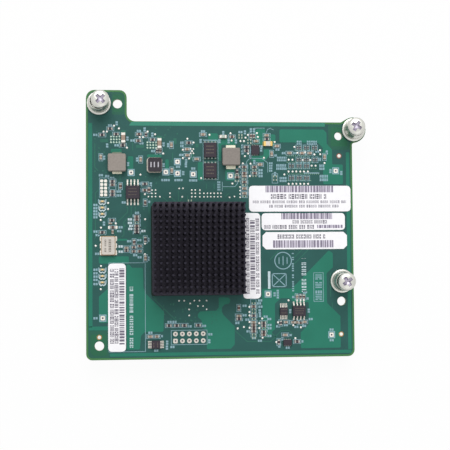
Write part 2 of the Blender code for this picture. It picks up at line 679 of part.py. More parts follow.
def lead_profile(body_half, span_half, height):
    """Side view of one bent lead, from inside the body out and down to its foot."""
    reach = span_half - body_half
    knee = body_half + 0.4 * reach
    ankle = body_half + 0.65 * reach
    inside = body_half - 2 * LEAD_THICK
    return [(inside, height), (knee, height), (ankle, LEAD_THICK), (span_half, LEAD_THICK),
            (span_half, 0.0), (ankle - LEAD_THICK, 0.0), (inside, height - LEAD_THICK)]


def moulded_body(name, x, y, size):
    """Box of black moulding with its edges bevelled a little."""
    item = place(boxes(name, [(0.0, 0.0, 0.0, *size)]), name, MOULDED, x, y, FILM)
    soften = item.modifiers.new("edges", "BEVEL")
    soften.width = BODY_BEVEL
    soften.segments = 1
    return item


def make_leaded_package(name, x, y, body, span, lead_count, pitch, lead_width, turn=0.0):
    """Moulded body with a row of bent leads on its two long sides; turn is in degrees."""
    size_x, size_y, height = body
    lead_level = 0.45 * height
    item = moulded_body(name, x, y, body)
    item.rotation_euler = (0.0, 0.0, math.radians(turn))
    profile = lead_profile(size_y / 2, span / 2, lead_level)
    bm = bmesh.new()
    for side in (-1, 1):
        for number in range(lead_count):
            centre = (number - (lead_count - 1) / 2) * pitch
            low = [bm.verts.new((centre - lead_width / 2, side * u, w)) for u, w in profile]
            face = bm.faces.new(low)
            raised = bmesh.ops.extrude_face_region(bm, geom=[face])
            moved = [v for v in raised["geom"] if isinstance(v, bmesh.types.BMVert)]
            bmesh.ops.translate(bm, verts=moved, vec=(lead_width, 0.0, 0.0))
    bmesh.ops.recalc_face_normals(bm, faces=bm.faces)
    leads = place(object_from(bm, "leads"), name + "_leads", TINNED, x, y, FILM)
    leads.rotation_euler = item.rotation_euler
    boolean(item, leads, "UNION")


def make_power_switch(name, x, y):
    """Power transistor in a flat body with four stub leads on each end."""
    item = moulded_body(name, x, y, POWER_BODY)
    middle = POWER_BODY[1] / 2 + STUB_REACH - STUB_LENGTH / 2
    parts = [((number - 1.5) * STANDARD_PITCH, side * middle, BODY_BEVEL, LEAD_WIDTH, STUB_LENGTH, LEAD_THICK)
             for side in (-1, 1) for number in range(4)]
    boolean(item, place(boxes("stubs", parts), name + "_stubs", TINNED, x, y, FILM), "UNION")


def make_oscillator(x, y):
    """Ceramic base with castellated long sides under a metal lid."""
    base = outline_solid("base", [rounded_rectangle(CAN_BASE_X, CAN_BASE_Y, 0.3 * MM, 1)], CAN_BASE_THICK)
    place(base, "oscillator_base", LIGHT_CERAMIC, x, y, FILM)
    bm = bmesh.new()
    for side in (-1, 1):
        for number in range(CAN_NOTCHES):
            made = bmesh.ops.create_cone(bm, cap_ends=True, segments=8, radius1=CAN_NOTCH_RADIUS,
                                         radius2=CAN_NOTCH_RADIUS, depth=3 * CAN_BASE_THICK)
            along = (number - (CAN_NOTCHES - 1) / 2) * STANDARD_PITCH
            bmesh.ops.translate(bm, verts=made["verts"], vec=(side * CAN_BASE_X / 2, along, 0.0))
    notches = place(object_from(bm, "notches"), "oscillator_notches", LIGHT_CERAMIC, x, y, FILM)
    boolean(base, notches, "DIFFERENCE")
    lid = outline_solid("lid", [rounded_rectangle(CAN_LID_X, CAN_LID_Y, 0.4 * MM, 2)], CAN_LID_THICK)
    place(lid, "oscillator_lid", TINNED, x, y, 2 * FILM + CAN_BASE_THICK)


def make_chip(name, material, x, y, length, width, height, turn):
    """Chip part whose two metal ends stand slightly proud of its body."""
    proud = 0.06 * MM
    end = 0.22 * length
    half_l = length / 2
    half_w = width / 2
    loop = [(half_l, half_w), (half_l - end, half_w), (half_l - end, half_w - proud),
            (end - half_l, half_w - proud), (end - half_l, half_w), (-half_l, half_w)]
    loop += [(-u, -v) for u, v in loop]
    item = place(outline_solid(name, [loop], height), name, material, x, y, FILM)
    item.rotation_euler = (0.0, 0.0, math.radians(turn))


def make_labels():
    """Paper labels with round corners; the lower one has its corners cut straight."""
    for name, (left, bottom, right, top) in LABELS.items():
        width = across(right - left)
        height = up(top - bottom)
        steps = 1 if name == "lower_label" else 3
        label = outline_solid(name, [rounded_rectangle(width, height, LABEL_ROUND, steps)], LABEL_THICK)
        place(label, name, PAPER, across(left + right) / 2, up(bottom + top) / 2, FILM)


def make_indicators():
    """Two columns of three small lamps along the left edge."""
    for number, row in enumerate(INDICATOR_ROWS, start=1):
        make_chip("indicator_" + str(number), LED_AMBER, across(5.9), up(row),
                  1.7 * MM, 0.85 * MM, 0.6 * MM, 0.0)


def make_components():
    make_inductor("left_inductor", across(11.3), below_top(15.45), 0.8 * MM)
    make_inductor("middle_inductor", across(53.1), below_top(13.2), 1.2 * MM)
    make_choke(across(24.95), below_top(16.2))
    make_power_switch("upper_power_switch", across(45.5), below_top(10.6))
    make_power_switch("lower_power_switch", across(45.5), below_top(18.2))
    moulded_body("supply_controller", across(62.25), below_top(10.5), (3.0 * MM, 3.4 * MM, 0.85 * MM))
    moulded_body("reset_chip", across(73.6), up(5.4), (3.1 * MM, 2.1 * MM, 0.8 * MM))
    make_leaded_package("flash_memory", across(17.0), up(61.0), (5.1 * MM, 4.9 * MM, 1.8 * MM), 9.2 * MM,
                        4, STANDARD_PITCH, LEAD_WIDTH)
    make_leaded_package("bus_driver", across(78.0), up(17.0), (4.9 * MM, 3.8 * MM, 1.5 * MM), 6.6 * MM,
                        4, STANDARD_PITCH, LEAD_WIDTH)
    make_leaded_package("voltage_monitor", across(72.3), up(16.9), (3.0 * MM, 2.8 * MM, 0.95 * MM), 5.9 * MM,
                        5, FINE_PITCH, FINE_LEAD_WIDTH)
    make_leaded_package("clock_buffer", across(25.2), up(5.4), (3.0 * MM, 3.1 * MM, 1.0 * MM), 5.7 * MM,
                        5, FINE_PITCH, FINE_LEAD_WIDTH, turn=90.0)
    make_oscillator(across(8.1), up(41.5))
    make_chip("left_bulk_capacitor", CAPACITOR_TAN, across(13.6), below_top(6.2),
              3.5 * MM, 1.4 * MM, 1.3 * MM, 90.0)
    make_chip("middle_bulk_capacitor", CAPACITOR_TAN, across(26.8), below_top(8.2),
              3.5 * MM, 1.4 * MM, 1.3 * MM, 90.0)
    make_chip("right_bulk_capacitor", CAPACITOR_TAN, across(50.3), below_top(5.6),
              2.3 * MM, 1.1 * MM, 1.0 * MM, 0.0)
    make_chip("chip_fuse", LIGHT_CERAMIC, across(67.0), below_top(8.15),
              3.1 * MM, 1.7 * MM, 0.9 * MM, 0.0)


make_board()
make_processor()
for label, (screw_x, screw_y, lean_angle) in SCREWS.items():
    make_captive_screw(label, screw_x, screw_y, lean_angle)
make_connector()
make_components()
make_indicators()
make_labels()
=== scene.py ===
"""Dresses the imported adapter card: solder mask, copper, print, parts, screws, heat sink, light and camera."""
import json
import math
import random

import bmesh
import bpy
from mathutils import Matrix, Vector


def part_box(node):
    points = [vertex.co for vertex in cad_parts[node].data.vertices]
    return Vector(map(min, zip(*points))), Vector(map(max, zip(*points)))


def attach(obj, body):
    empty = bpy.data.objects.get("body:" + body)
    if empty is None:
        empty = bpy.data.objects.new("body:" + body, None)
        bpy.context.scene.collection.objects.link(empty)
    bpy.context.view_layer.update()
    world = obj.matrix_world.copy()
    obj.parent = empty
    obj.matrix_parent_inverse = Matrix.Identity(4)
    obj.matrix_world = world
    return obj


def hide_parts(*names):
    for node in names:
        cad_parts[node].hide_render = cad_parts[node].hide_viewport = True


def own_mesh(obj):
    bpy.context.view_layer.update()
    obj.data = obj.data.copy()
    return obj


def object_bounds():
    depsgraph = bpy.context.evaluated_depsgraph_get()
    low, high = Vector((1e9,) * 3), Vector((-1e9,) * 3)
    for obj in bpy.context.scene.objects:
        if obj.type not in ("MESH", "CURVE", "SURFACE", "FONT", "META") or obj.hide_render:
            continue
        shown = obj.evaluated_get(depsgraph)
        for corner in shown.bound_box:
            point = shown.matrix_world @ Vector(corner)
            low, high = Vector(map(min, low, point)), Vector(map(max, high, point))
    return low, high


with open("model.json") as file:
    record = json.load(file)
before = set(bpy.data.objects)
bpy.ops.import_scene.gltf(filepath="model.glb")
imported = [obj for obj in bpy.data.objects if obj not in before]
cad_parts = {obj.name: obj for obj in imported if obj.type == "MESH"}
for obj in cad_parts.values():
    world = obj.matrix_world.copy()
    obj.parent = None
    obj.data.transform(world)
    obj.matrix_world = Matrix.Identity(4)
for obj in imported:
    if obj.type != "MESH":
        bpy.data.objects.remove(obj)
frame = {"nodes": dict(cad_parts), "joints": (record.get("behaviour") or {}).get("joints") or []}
cad_low, cad_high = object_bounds()
NODES = frame["nodes"]
JOINTS = {joint["name"]: joint for joint in frame["joints"]}

MM = 0.001
BOARD_THICK = 1.6
TOP_TOLERANCE = 0.02

# The card's lower left corner on the board's top face is the zero of all places below, in millimetres
board_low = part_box("circuit_board")[0]
CORNER = Vector((board_low.x, board_low.y, board_low.z + BOARD_THICK * MM))
TO_CARD = Matrix.Translation(CORNER) @ Matrix.Scale(MM, 4)
FROM_CARD = TO_CARD.inverted()

# Heights of the thin layers above the board
FIELD_LOW = 0.004
MASK_TOP = 0.035
PRINT_LOW = 0.01
PRINT_TOP = 0.06
PAD_TOP = 0.07


# Shader nodes

def feed(tree, node, inputs):
    """Sets each named or numbered input to a value, or links it to another node's output."""
    for name, value in inputs.items():
        if isinstance(value, bpy.types.NodeSocket):
            tree.links.new(value, node.inputs[name])
        else:
            node.inputs[name].default_value = value


def shade(tree, kind, inputs, **settings):
    """A new shader node with its options and inputs."""
    node = tree.nodes.new("ShaderNode" + kind)
    for name, value in settings.items():
        setattr(node, name, value)
    feed(tree, node, inputs)
    return node


def ramp(tree, level, *stops):
    """Colour along a ramp, from two pairs of position and colour."""
    node = shade(tree, "ValToRGB", {"Fac": level})
    for element, (position, colour) in zip(node.color_ramp.elements, stops):
        element.position = position
        element.color = colour
    return node.outputs["Color"]


# Colours and materials

BUMP_REACH = 0.02
LAYER_PITCH = 0.2


def linear(red, green, blue):
    """Linear colour from a screen colour of 0 to 255."""
    found = []
    for value in (red, green, blue):
        share = value / 255
        found.append(share / 12.92 if share <= 0.04045 else ((share + 0.055) / 1.055) ** 2.4)
    return (*found, 1.0)


def scaled(colour, factor):
    return (*(min(1.0, value * factor) for value in colour[:3]), 1.0)


def surface(name, colour, roughness=0.5, metallic=0.0, vary=0.1, grain=900.0, bump=0.1, shine=0.32,
            stretch=(1.0, 1.0, 1.0), coat=0.0):
    """Principled material whose screen colour and height follow a fine noise in the object's own space."""
    material = bpy.data.materials.new(name)
    material.use_nodes = True
    tree = material.node_tree
    plain = linear(*colour)
    place = shade(tree, "TexCoord", {})
    mapping = shade(tree, "Mapping", {"Vector": place.outputs["Object"], "Scale": stretch})
    noise = shade(tree, "TexNoise", {"Vector": mapping.outputs["Vector"], "Scale": grain, "Detail": 5.0})
    level = noise.outputs["Fac"]
    relief = shade(tree, "Bump", {"Height": level, "Strength": bump, "Distance": BUMP_REACH * MM})
    feed(tree, tree.nodes["Principled BSDF"], {
        "Base Color": ramp(tree, level, (0.3, scaled(plain, 1.0 - vary)), (0.7, scaled(plain, 1.0 + vary))),
        "Normal": relief.outputs["Normal"], "Roughness": roughness, "Metallic": metallic,
        "Specular IOR Level": shine, "Coat Weight": coat, "Coat Roughness": 0.15})
    return material


def mask(name, colour, vary=0.05, grain=120.0, bump=0.04):
    """Solder mask over plain copper or laminate."""
    return surface(name, colour, 0.42, vary=vary, grain=grain, bump=bump, shine=0.2)


def board_material(name, colour, laminate):
    """Solder mask with a faint glass weave below it; the cut sides show the layered laminate."""
    material = mask(name, colour, vary=0.07, grain=160.0, bump=0.05)
    tree = material.node_tree
    shader = tree.nodes["Principled BSDF"]
    tones = shader.inputs["Base Color"].links[0].from_socket
    place = tree.nodes["Texture Coordinate"].outputs["Object"]
    weave = shade(tree, "TexWave", {"Vector": place, "Scale": 700.0, "Distortion": 1.5}, bands_direction="X")
    woven = shade(tree, "Mix", {"Factor": 0.06, "A": tones, "B": weave.outputs["Color"]},
                  data_type="RGBA", blend_type="MULTIPLY")
    split = shade(tree, "SeparateXYZ", {"Vector": place})
    layers = shade(tree, "Math", {0: split.outputs["Z"], 1: LAYER_PITCH * MM}, operation="PINGPONG")
    level = shade(tree, "MapRange", {"Value": layers.outputs["Value"], "From Max": LAYER_PITCH * MM})
    sides = ramp(tree, level.outputs["Result"], (0.0, scaled(laminate, 0.7)), (1.0, laminate))
    geometry = shade(tree, "NewGeometry", {})
    normal = shade(tree, "SeparateXYZ", {"Vector": geometry.outputs["True Normal"]})
    upright = shade(tree, "Math", {0: normal.outputs["Z"]}, operation="ABSOLUTE")
    flat = shade(tree, "Math", {0: upright.outputs["Value"], 1: 0.5}, operation="GREATER_THAN")
    choose = shade(tree, "Mix", {"Factor": flat.outputs["Value"], "A": sides, "B": woven.outputs["Result"]},
                   data_type="RGBA")
    feed(tree, shader, {"Base Color": choose.outputs["Result"]})
    return material


MASK_DARK = board_material("mask_over_laminate", (43, 90, 85), linear(150, 165, 95))
MASK_COPPER = mask("mask_over_copper", (40, 119, 99))
MASK_RIM = mask("mask_rim", (72, 124, 74), vary=0.08, grain=150.0, bump=0.05)
MASK_OLIVE = mask("mask_bare_olive", (42, 101, 74), vary=0.06)
MASK_OLIVE_SOFT = mask("mask_bare_soft", (43, 96, 79), vary=0.06)
MASK_BRIGHT = mask("mask_over_edge_copper", (58, 134, 114))
MASK_TRACE = mask("mask_over_trace", (48, 106, 91), grain=150.0)
PRINT_WHITE = surface("print_white", (196, 214, 220), 0.7, vary=0.08)
PRINT_SOFT = surface("print_soft", (138, 172, 182), 0.7)
SOLDER = surface("bright_solder", (240, 238, 232), 0.35, 0.2, vary=0.08, grain=700.0, bump=0.15)
PAD_TIN = surface("levelled_pad", (238, 233, 224), 0.4, 0.15, vary=0.06, grain=600.0)
MINT_PAD = surface("pad_under_mask_film", (184, 208, 192), 0.45, 0.1, vary=0.08, grain=600.0)
BARE_PAD = surface("unfitted_pad", (160, 172, 156), 0.45, 0.2, grain=600.0)
VIA_PALE = surface("via_pale", (132, 172, 142), grain=700.0)
END_TIN = surface("chip_end_tin", (182, 182, 176), 0.45, 0.2, grain=700.0, bump=0.15)
END_DULL = surface("chip_end_dull", (150, 162, 158), 0.5, 0.15, grain=700.0, bump=0.15)
TINNED = surface("tinned_lead", (212, 207, 198), 0.42, 0.35, vary=0.08, grain=500.0)
TERMINAL = surface("plated_terminal", (234, 232, 210), 0.38, 0.4, vary=0.06, grain=500.0)
# Dark green-grey for a plated terminal: painted shade on the left inductor's north terminal.
TERMINAL_PAINTED_SHADE = surface("terminal_in_shade", (112, 128, 110), 0.5, 0.2, grain=500.0)
GOLD = surface("plated_gold", (232, 196, 120), 0.35, 0.6, grain=500.0)
COPPER_RING = surface("copper_ring", (146, 96, 84), 0.4, 0.4, vary=0.12, grain=500.0)
BRASS_RING = surface("brass_ring", (164, 128, 76), 0.4, 0.4, vary=0.12, grain=500.0)
# Grey for a disc down inside each header hole: painted shade for the hole's depth.
HOLE_DEPTH_PAINTED_SHADE = surface("hole_depth_painted_shade", (128, 120, 132), 0.6, vary=0.2)
# Painted shade for the dark hole in each test pad.
HOLE_PAINTED_SHADE = surface("test_hole_painted_shade", (74, 66, 84), 0.6, vary=0.2)
NICKEL = surface("nickel_turned", (208, 208, 201), 0.33, 0.87, vary=0.05, grain=300.0, bump=0.08,
                 stretch=(1.0, 1.0, 14.0))
RECESS = surface("recess_shade", (180, 174, 188), 0.33, 0.8, vary=0.12, grain=500.0)
SPRING_STEEL = surface("spring_wire", (186, 184, 180), 0.3, 1.0, grain=600.0)
# The heat sink is one black anodised metal in three tones: the base between the pins lighter, as painted light
# against the shade there, and the pins' tips darker than their sides, as painted shade on their lit tops.
ANODISED = surface("black_anodised", (52, 50, 60), 0.66, grain=500.0, bump=0.15, shine=0.12)
ANODISED_TIP_PAINTED_SHADE = surface("black_anodised_tip_painted_shade", (45, 43, 53), 0.66, vary=0.08, grain=500.0, bump=0.15, shine=0.1)
ANODISED_BASE_PAINTED_LIGHT = surface("black_anodised_base_painted_light", (66, 63, 73), 0.7, grain=400.0, bump=0.15, shine=0.16)
MOULDED = surface("moulded_epoxy", (58, 52, 60), 0.6, vary=0.12, grain=1400.0, bump=0.3, shine=0.24)
GLOSS_BLACK = surface("glazed_ferrite", (42, 38, 46), 0.3, vary=0.15, bump=0.15, shine=0.4)
MARKING = surface("dull_marking", (100, 93, 84), 0.7, vary=0.12)
PALE_MARKING = surface("pale_marking", (190, 188, 196), 0.7)
POWDER = surface("pressed_powder", (150, 142, 135), 0.75, vary=0.08, grain=1500.0, bump=0.4, shine=0.24)
POWDER_DARK = surface("pressed_powder_dark", (140, 133, 127), 0.75, vary=0.08, grain=1500.0, bump=0.4,
                      shine=0.24)
CERAMIC_LIGHT = surface("light_ceramic", (214, 208, 196), 0.55, vary=0.08, grain=800.0, bump=0.2)
LID_METAL = surface("seam_welded_lid", (197, 191, 183), 0.42, 0.45, vary=0.06, grain=500.0)
CHIP_TAN = surface("capacitor_tan", (160, 139, 123), bump=0.15)
CHIP_GREY = surface("capacitor_grey", (138, 122, 108), vary=0.12, bump=0.15)
CHIP_BROWN = surface("capacitor_brown", (92, 72, 68), vary=0.14, bump=0.15)
CHIP_SLATE = surface("capacitor_slate", (94, 88, 92), vary=0.12, bump=0.15)
CHIP_BLACK = surface("resistor_black", (64, 54, 60), vary=0.14, bump=0.15)
LENS = surface("lamp_lens", (240, 204, 136), 0.25, vary=0.06, grain=700.0, coat=0.5)
LAMP_BODY = surface("lamp_body", (176, 186, 176), vary=0.08, grain=700.0)
PAPER = surface("label_paper", (250, 249, 252), 0.6, vary=0.02)
INK = surface("label_ink", (84, 77, 96), 0.7, vary=0.15)
INK_GROUND = surface("label_ink_ground", (226, 221, 233), 0.7, vary=0.04)
BAR_INK = surface("label_bar_ink", (138, 131, 149), 0.7, vary=0.12)
PALE_INK = surface("label_fine_ink", (116, 110, 126), 0.7, vary=0.15)
CONNECTOR_BLACK = surface("connector_moulding", (42, 42, 44), 0.45, vary=0.12, bump=0.25)
CONTACT_GOLD = surface("contact_gold", (224, 184, 104), 0.28, 0.9, vary=0.08, grain=500.0)
# Near-black green for the substrate edge that shows under the heat sink: painted shade for the shadow under the
# sink's edge.
SUBSTRATE_PAINTED_SHADE = surface("package_substrate", (30, 44, 40), 0.6, grain=500.0, shine=0.16)
PAD_GREY = surface("gap_filler", (190, 190, 186), 0.9, vary=0.08, grain=700.0, bump=0.3)


def dress(material, *names):
    """Give CAD nodes their finished material."""
    for name in names:
        node = NODES[name]
        if not node.material_slots:
            node.data.materials.append(material)
        for part in node.material_slots:
            part.material = material


# Outlines

SQUARE = ((-1, -1), (1, -1), (1, 1), (-1, 1))


def rectangle(x0, y0, x1, y1):
    return [(x0, y0), (x1, y0), (x1, y1), (x0, y1)]


def about(x, y, dx, dy):
    """Box about a point: x0, y0, x1, y1."""
    return x - dx, y - dy, x + dx, y + dy


def rounded(points, radius, steps=3):
    """The outline with each corner rounded by an arc."""
    found = []
    for here, point in enumerate(points):
        corner = Vector(point)
        back = Vector(points[here - 1]) - corner
        ahead = Vector(points[(here + 1) % len(points)]) - corner
        half = back.angle(ahead) / 2
        reach = min(radius / math.tan(half), 0.45 * back.length, 0.45 * ahead.length)
        if reach < 0.01:
            found.append(point)
            continue
        start = corner + back.normalized() * reach
        end = corner + ahead.normalized() * reach
        for step in range(steps + 1):
            share = step / steps
            found.append(tuple(start.lerp(corner, share).lerp(corner.lerp(end, share), share)))
    return found


def headings(line):
    """Direction from each point to the next, and from the last one back to the first."""
    return [(b - a).normalized() for a, b in zip(line, line[1:] + line[:1])]


def mitre(into, out, distance, limit):
    """Step to the left of a corner that keeps a line beside it at that distance."""
    across = (into + out).normalized()
    normal = Vector((-across.y, across.x))
    return normal * distance / max(limit, normal.dot(Vector((-out.y, out.x))))


def inset(loop, distance):
    """The closed loop moved inwards; it runs anticlockwise."""
    line = [Vector(point) for point in loop]
    ways = headings(line)
    return [tuple(corner + mitre(ways[here - 1], ways[here], distance, 0.4))
            for here, corner in enumerate(line)]


def stroke(points, width, closed=False):
    """Outline pieces of a line of that width: one four-sided piece for each stretch, mitred at the bends."""
    line = [Vector(point) for point in points]
    ways = headings(line)
    if not closed:
        ways[-1] = ways[-2]
    sides = []
    for here, corner in enumerate(line):
        into = ways[here - 1] if closed or here else ways[0]
        step = mitre(into, ways[here], width / 2, 0.3)
        sides.append((tuple(corner + step), tuple(corner - step)))
    stretches = zip(sides, sides[1:] + sides[:1] if closed else sides[1:])
    return [[a[0], b[0], b[1], a[1]] for a, b in stretches]


# Mesh building

def add_item(name, data):
    """A new object in the scene."""
    item = bpy.data.objects.new(name, data)
    bpy.context.scene.collection.objects.link(item)
    return item


def soften(mesh, angle):
    """Smooth shading, apart from edges that bend by more than that many degrees."""
    mesh.shade_smooth()
    mesh.set_sharp_from_angle(angle=math.radians(angle))


class Build:
    """Collects closed shapes in one mesh. Points are in card millimetres, or in another given space."""

    def __init__(self, name, space=TO_CARD):
        self.name = name
        self.space = space
        self.materials = []
        self.bm = bmesh.new()

    def loft(self, rings, paint, ring_closed=False):
        """Skin through rings of as many points each; the ends are capped unless the rings close up."""
        if paint not in self.materials:
            self.materials.append(paint)
        made = [[self.bm.verts.new(self.space @ Vector(point)) for point in ring] for ring in rings]
        pairs = list(zip(made, made[1:]))
        caps = [made[0][::-1], made[-1]]
        if ring_closed:
            pairs.append((made[-1], made[0]))
            caps = []
        sides = [(low[here - 1], low[here], high[here], high[here - 1])
                 for low, high in pairs for here in range(len(low))]
        for corners in sides + caps:
            self.bm.faces.new(corners).material_index = self.materials.index(paint)

    def prism(self, points, low, high, paint):
        self.loft([[(x, y, z) for x, y in points] for z in (low, high)], paint)

    def sweep(self, points, along, paint):
        """A flat outline of 3D points, swept along a vector."""
        self.loft([points, [tuple(a + b for a, b in zip(point, along)) for point in points]], paint)

    def block(self, x0, y0, x1, y1, low, high, paint, draft=0.0):
        """Box; with a draft its foot and its top are drawn in by that much."""
        levels = ((low, 0.0), (high, 0.0))
        if draft:
            levels = ((low, draft), (low + 2 * draft, 0.0), (high - 2 * draft, 0.0), (high, draft))
        self.loft([[(x, y, level) for x, y in rectangle(x0 + less, y0 + less, x1 - less, y1 - less)]
                   for level, less in levels], paint)

    def turned(self, x, y, profile, paint, steps=16, ring_closed=False):
        """Rings about an upright axis from radius and height pairs."""
        turns = [2 * math.pi * step / steps for step in range(steps)]
        self.loft([[(x + r * math.cos(a), y + r * math.sin(a), z) for a in turns] for r, z in profile],
                  paint, ring_closed)

    def line(self, points, width, low, high, paint, closed=False):
        """A flat line of that width."""
        for piece in stroke(points, width, closed):
            self.prism(piece, low, high, paint)

    def mesh(self):
        bmesh.ops.recalc_face_normals(self.bm, faces=self.bm.faces)
        mesh = bpy.data.meshes.new(self.name)
        self.bm.to_mesh(mesh)
        self.bm.free()
        for material in self.materials:
            mesh.materials.append(material)
        return mesh

    def finish(self, slot, body="card", smooth=None, stands_for=()):
        """The scene's piece: it rides a body, and may stand for CAD nodes."""
        item = add_item(self.name, self.mesh())
        if smooth:
            soften(item.data, smooth)
        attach(item, body)
        if stands_for:
            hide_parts(*stands_for)
        return item


# What the CAD nodes say

def node_box(name):
    """A node's box in card millimetres: x0, y0, x1, y1, low and high."""
    low, high = (FROM_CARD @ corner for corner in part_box(name))
    return low.x, low.y, high.x, high.y, low.z, high.z


def area(loop):
    return sum(a[0] * b[1] - b[0] * a[1] for a, b in zip(loop, loop[1:] + loop[:1])) / 2


def read_board():
    """Outline of the board's top face, and the chips that stand on it, in card millimetres."""
    mesh = NODES["circuit_board"].data
    spots = [tuple(round(value, 2) for value in FROM_CARD @ vertex.co) for vertex in mesh.vertices]
    top_edges = {}
    raised = {}
    for face in mesh.polygons:
        corners = [spots[index] for index in face.vertices]
        if face.normal.z < 0.9:
            continue
        if all(abs(corner[2]) < TOP_TOLERANCE for corner in corners):
            for edge in zip(corners, corners[1:] + corners[:1]):
                if not top_edges.pop(edge[::-1], False):
                    top_edges[edge] = True
        elif all(corner[2] > 10 * TOP_TOLERANCE for corner in corners):
            for corner in corners:
                raised.setdefault(corner, set()).update(corners)
    chips = []
    while raised:
        todo = [next(iter(raised))]
        patch = set()
        while todo:
            corner = todo.pop()
            if corner not in patch:
                patch.add(corner)
                todo += raised.pop(corner)
        xs, ys, zs = zip(*patch)
        chips.append((min(xs), min(ys), max(xs), max(ys), max(zs)))
    ahead = {start: end for start, end in top_edges}
    loops = []
    while ahead:
        here = next(iter(ahead))
        loop = []
        while here in ahead:
            loop.append(here[:2])
            here = ahead.pop(here)
        loops.append(loop)
    return max(loops, key=lambda loop: abs(area(loop))), sorted(chips)


OUTLINE, CHIPS = read_board()


# Copper under the mask, bare fields and the board's rim; boxes are x0, y0, x1, y1

EDGE_STRIPS = [(0.9, 12.0, 2.3, 86.5), (0.9, 10.8, 8.6, 12.2), (96.4, 2.6, 97.7, 76.0), (8.5, 1.2, 97.6, 2.4)]
BRIGHT_EDGES = [[(15.6, 85.6), (88.6, 85.6), (88.6, 87.0), (16.6, 87.0)]]
FAINT_PATCHES = [
    (5.2, 79.4, 8.0, 80.6), (31.9, 78.8, 33.1, 81.0), (38.2, 73.0, 39.4, 75.4), (40.1, 77.6, 41.2, 79.0),
    (18.2, 77.4, 21.2, 78.5), (12.6, 82.6, 14.6, 83.9), (25.8, 80.6, 27.8, 81.9),
]
POUR_BOXES = [
    (9.0, 75.5, 13.0, 77.0), (15.1, 68.0, 17.2, 74.3), (22.2, 73.9, 27.6, 75.0), (28.9, 68.0, 30.2, 73.2),
    (40.9, 65.4, 42.9, 72.2), (44.8, 79.9, 48.4, 82.9), (51.1, 65.3, 54.5, 69.6), (4.6, 35.0, 15.5, 37.6),
    (10.9, 43.3, 15.0, 44.0),
]
POURS = [
    [(48.4, 72.6), (49.6, 72.6), (49.6, 78.6), (55.2, 78.6), (55.2, 80.9), (48.4, 80.9)],
    [(61.6, 79.0), (69.9, 78.4), (69.9, 82.6), (66.1, 82.6), (66.1, 84.7), (63.2, 84.7), (61.6, 83.0)],
    [(60.9, 72.4), (65.6, 72.4), (67.9, 75.0), (67.9, 77.0), (65.4, 77.0), (65.4, 74.6), (60.9, 74.6)],
    [(71.4, 79.6), (85.8, 79.6), (87.7, 77.6), (87.7, 74.6), (89.0, 72.6), (87.7, 70.6), (87.7, 64.0),
     (95.2, 64.0), (95.2, 71.4), (91.2, 71.4), (91.2, 76.9), (89.2, 79.2), (89.2, 83.2), (88.0, 84.5),
     (71.4, 84.5)],
    [(4.6, 13.5), (8.2, 13.5), (8.2, 26.2), (4.6, 23.0)],
    [(14.6, 3.7), (19.4, 3.7), (19.8, 8.6), (21.2, 10.0), (28.0, 10.0), (28.2, 17.3), (21.6, 23.9),
     (20.8, 26.0), (20.6, 33.4), (16.6, 33.4), (15.6, 34.6), (14.6, 34.6)],
    [(48.3, 18.6), (47.4, 17.4), (41.4, 17.2), (40.6, 16.2), (40.6, 15.2), (42.0, 13.8), (42.0, 11.7),
     (43.8, 10.2), (43.8, 3.4), (52.6, 3.4), (54.1, 5.0), (54.1, 11.6), (50.0, 15.8), (49.4, 17.0),
     (49.5, 18.7), (50.5, 19.7), (52.1, 20.0), (52.7, 21.1), (52.0, 22.2), (48.3, 22.3)],
    [(75.5, 25.3), (89.5, 39.3), (91.0, 38.3), (91.0, 33.0), (88.6, 30.8), (88.6, 19.8), (93.6, 14.9),
     (93.6, 3.2), (78.6, 3.2), (78.6, 9.0), (81.7, 12.0), (81.7, 20.2), (76.0, 20.2), (74.6, 21.7),
     (71.3, 21.7), (69.1, 19.7), (69.1, 10.4), (67.9, 9.4), (67.9, 7.3), (64.4, 7.3), (64.4, 25.3)],
]
TRACES = [
    [(33.7, 61.7), (33.7, 57.6)], [(28.0, 59.2), (29.8, 57.6)], [(31.0, 59.2), (32.6, 57.6)],
    [(24.0, 59.4), (24.0, 57.9), (22.9, 56.8), (22.9, 53.0)], [(35.2, 59.2), (34.1, 57.6)],
    [(37.1, 59.8), (37.1, 57.6)], [(16.4, 55.6), (16.4, 52.9), (13.7, 50.2), (13.7, 45.5), (12.9, 44.6)],
    [(17.9, 55.6), (17.9, 53.4)], [(15.1, 55.6), (15.1, 53.8), (11.3, 50.0)], [(18.8, 44.4), (23.6, 44.4)],
    [(59.2, 71.6), (59.2, 72.4), (60.6, 73.8), (60.6, 74.8)], [(65.4, 78.9), (65.4, 84.6)],
    [(49.8, 62.6), (54.6, 62.6), (55.6, 64.0)], [(65.6, 72.9), (67.4, 70.9), (67.4, 68.4)],
    [(66.9, 14.8), (66.9, 10.0), (70.4, 6.2)], [(67.4, 36.0), (70.6, 39.2)], [(76.4, 36.6), (79.4, 39.6)],
    [(48.6, 14.6), (55.1, 9.2), (58.7, 6.0), (67.4, 5.9), (71.4, 9.8), (74.3, 9.8), (75.7, 8.3)],
    [(76.2, 34.0), (81.8, 39.6)], [(90.0, 31.0), (90.0, 22.0)], [(90.6, 20.0), (90.6, 10.4)],
    [(24.4, 22.2), (29.6, 17.0), (33.0, 13.6)], [(23.6, 23.8), (25.6, 21.8)], [(12.4, 67.3), (12.4, 65.4)],
    [(3.4, 44.2), (3.4, 60.8), (4.6, 62.0)], [(3.2, 79.0), (3.2, 70.2), (4.4, 69.0)],
    [(44.0, 64.2), (44.0, 62.2)], [(46.9, 64.2), (46.9, 62.2)], [(50.9, 59.3), (52.4, 60.8)],
    [(83.6, 68.9), (86.6, 68.9)], [(31.6, 75.6), (31.6, 73.0), (30.9, 72.2)], [(17.0, 76.4), (17.0, 79.4)],
    [(20.6, 76.6), (22.6, 76.6)],
]
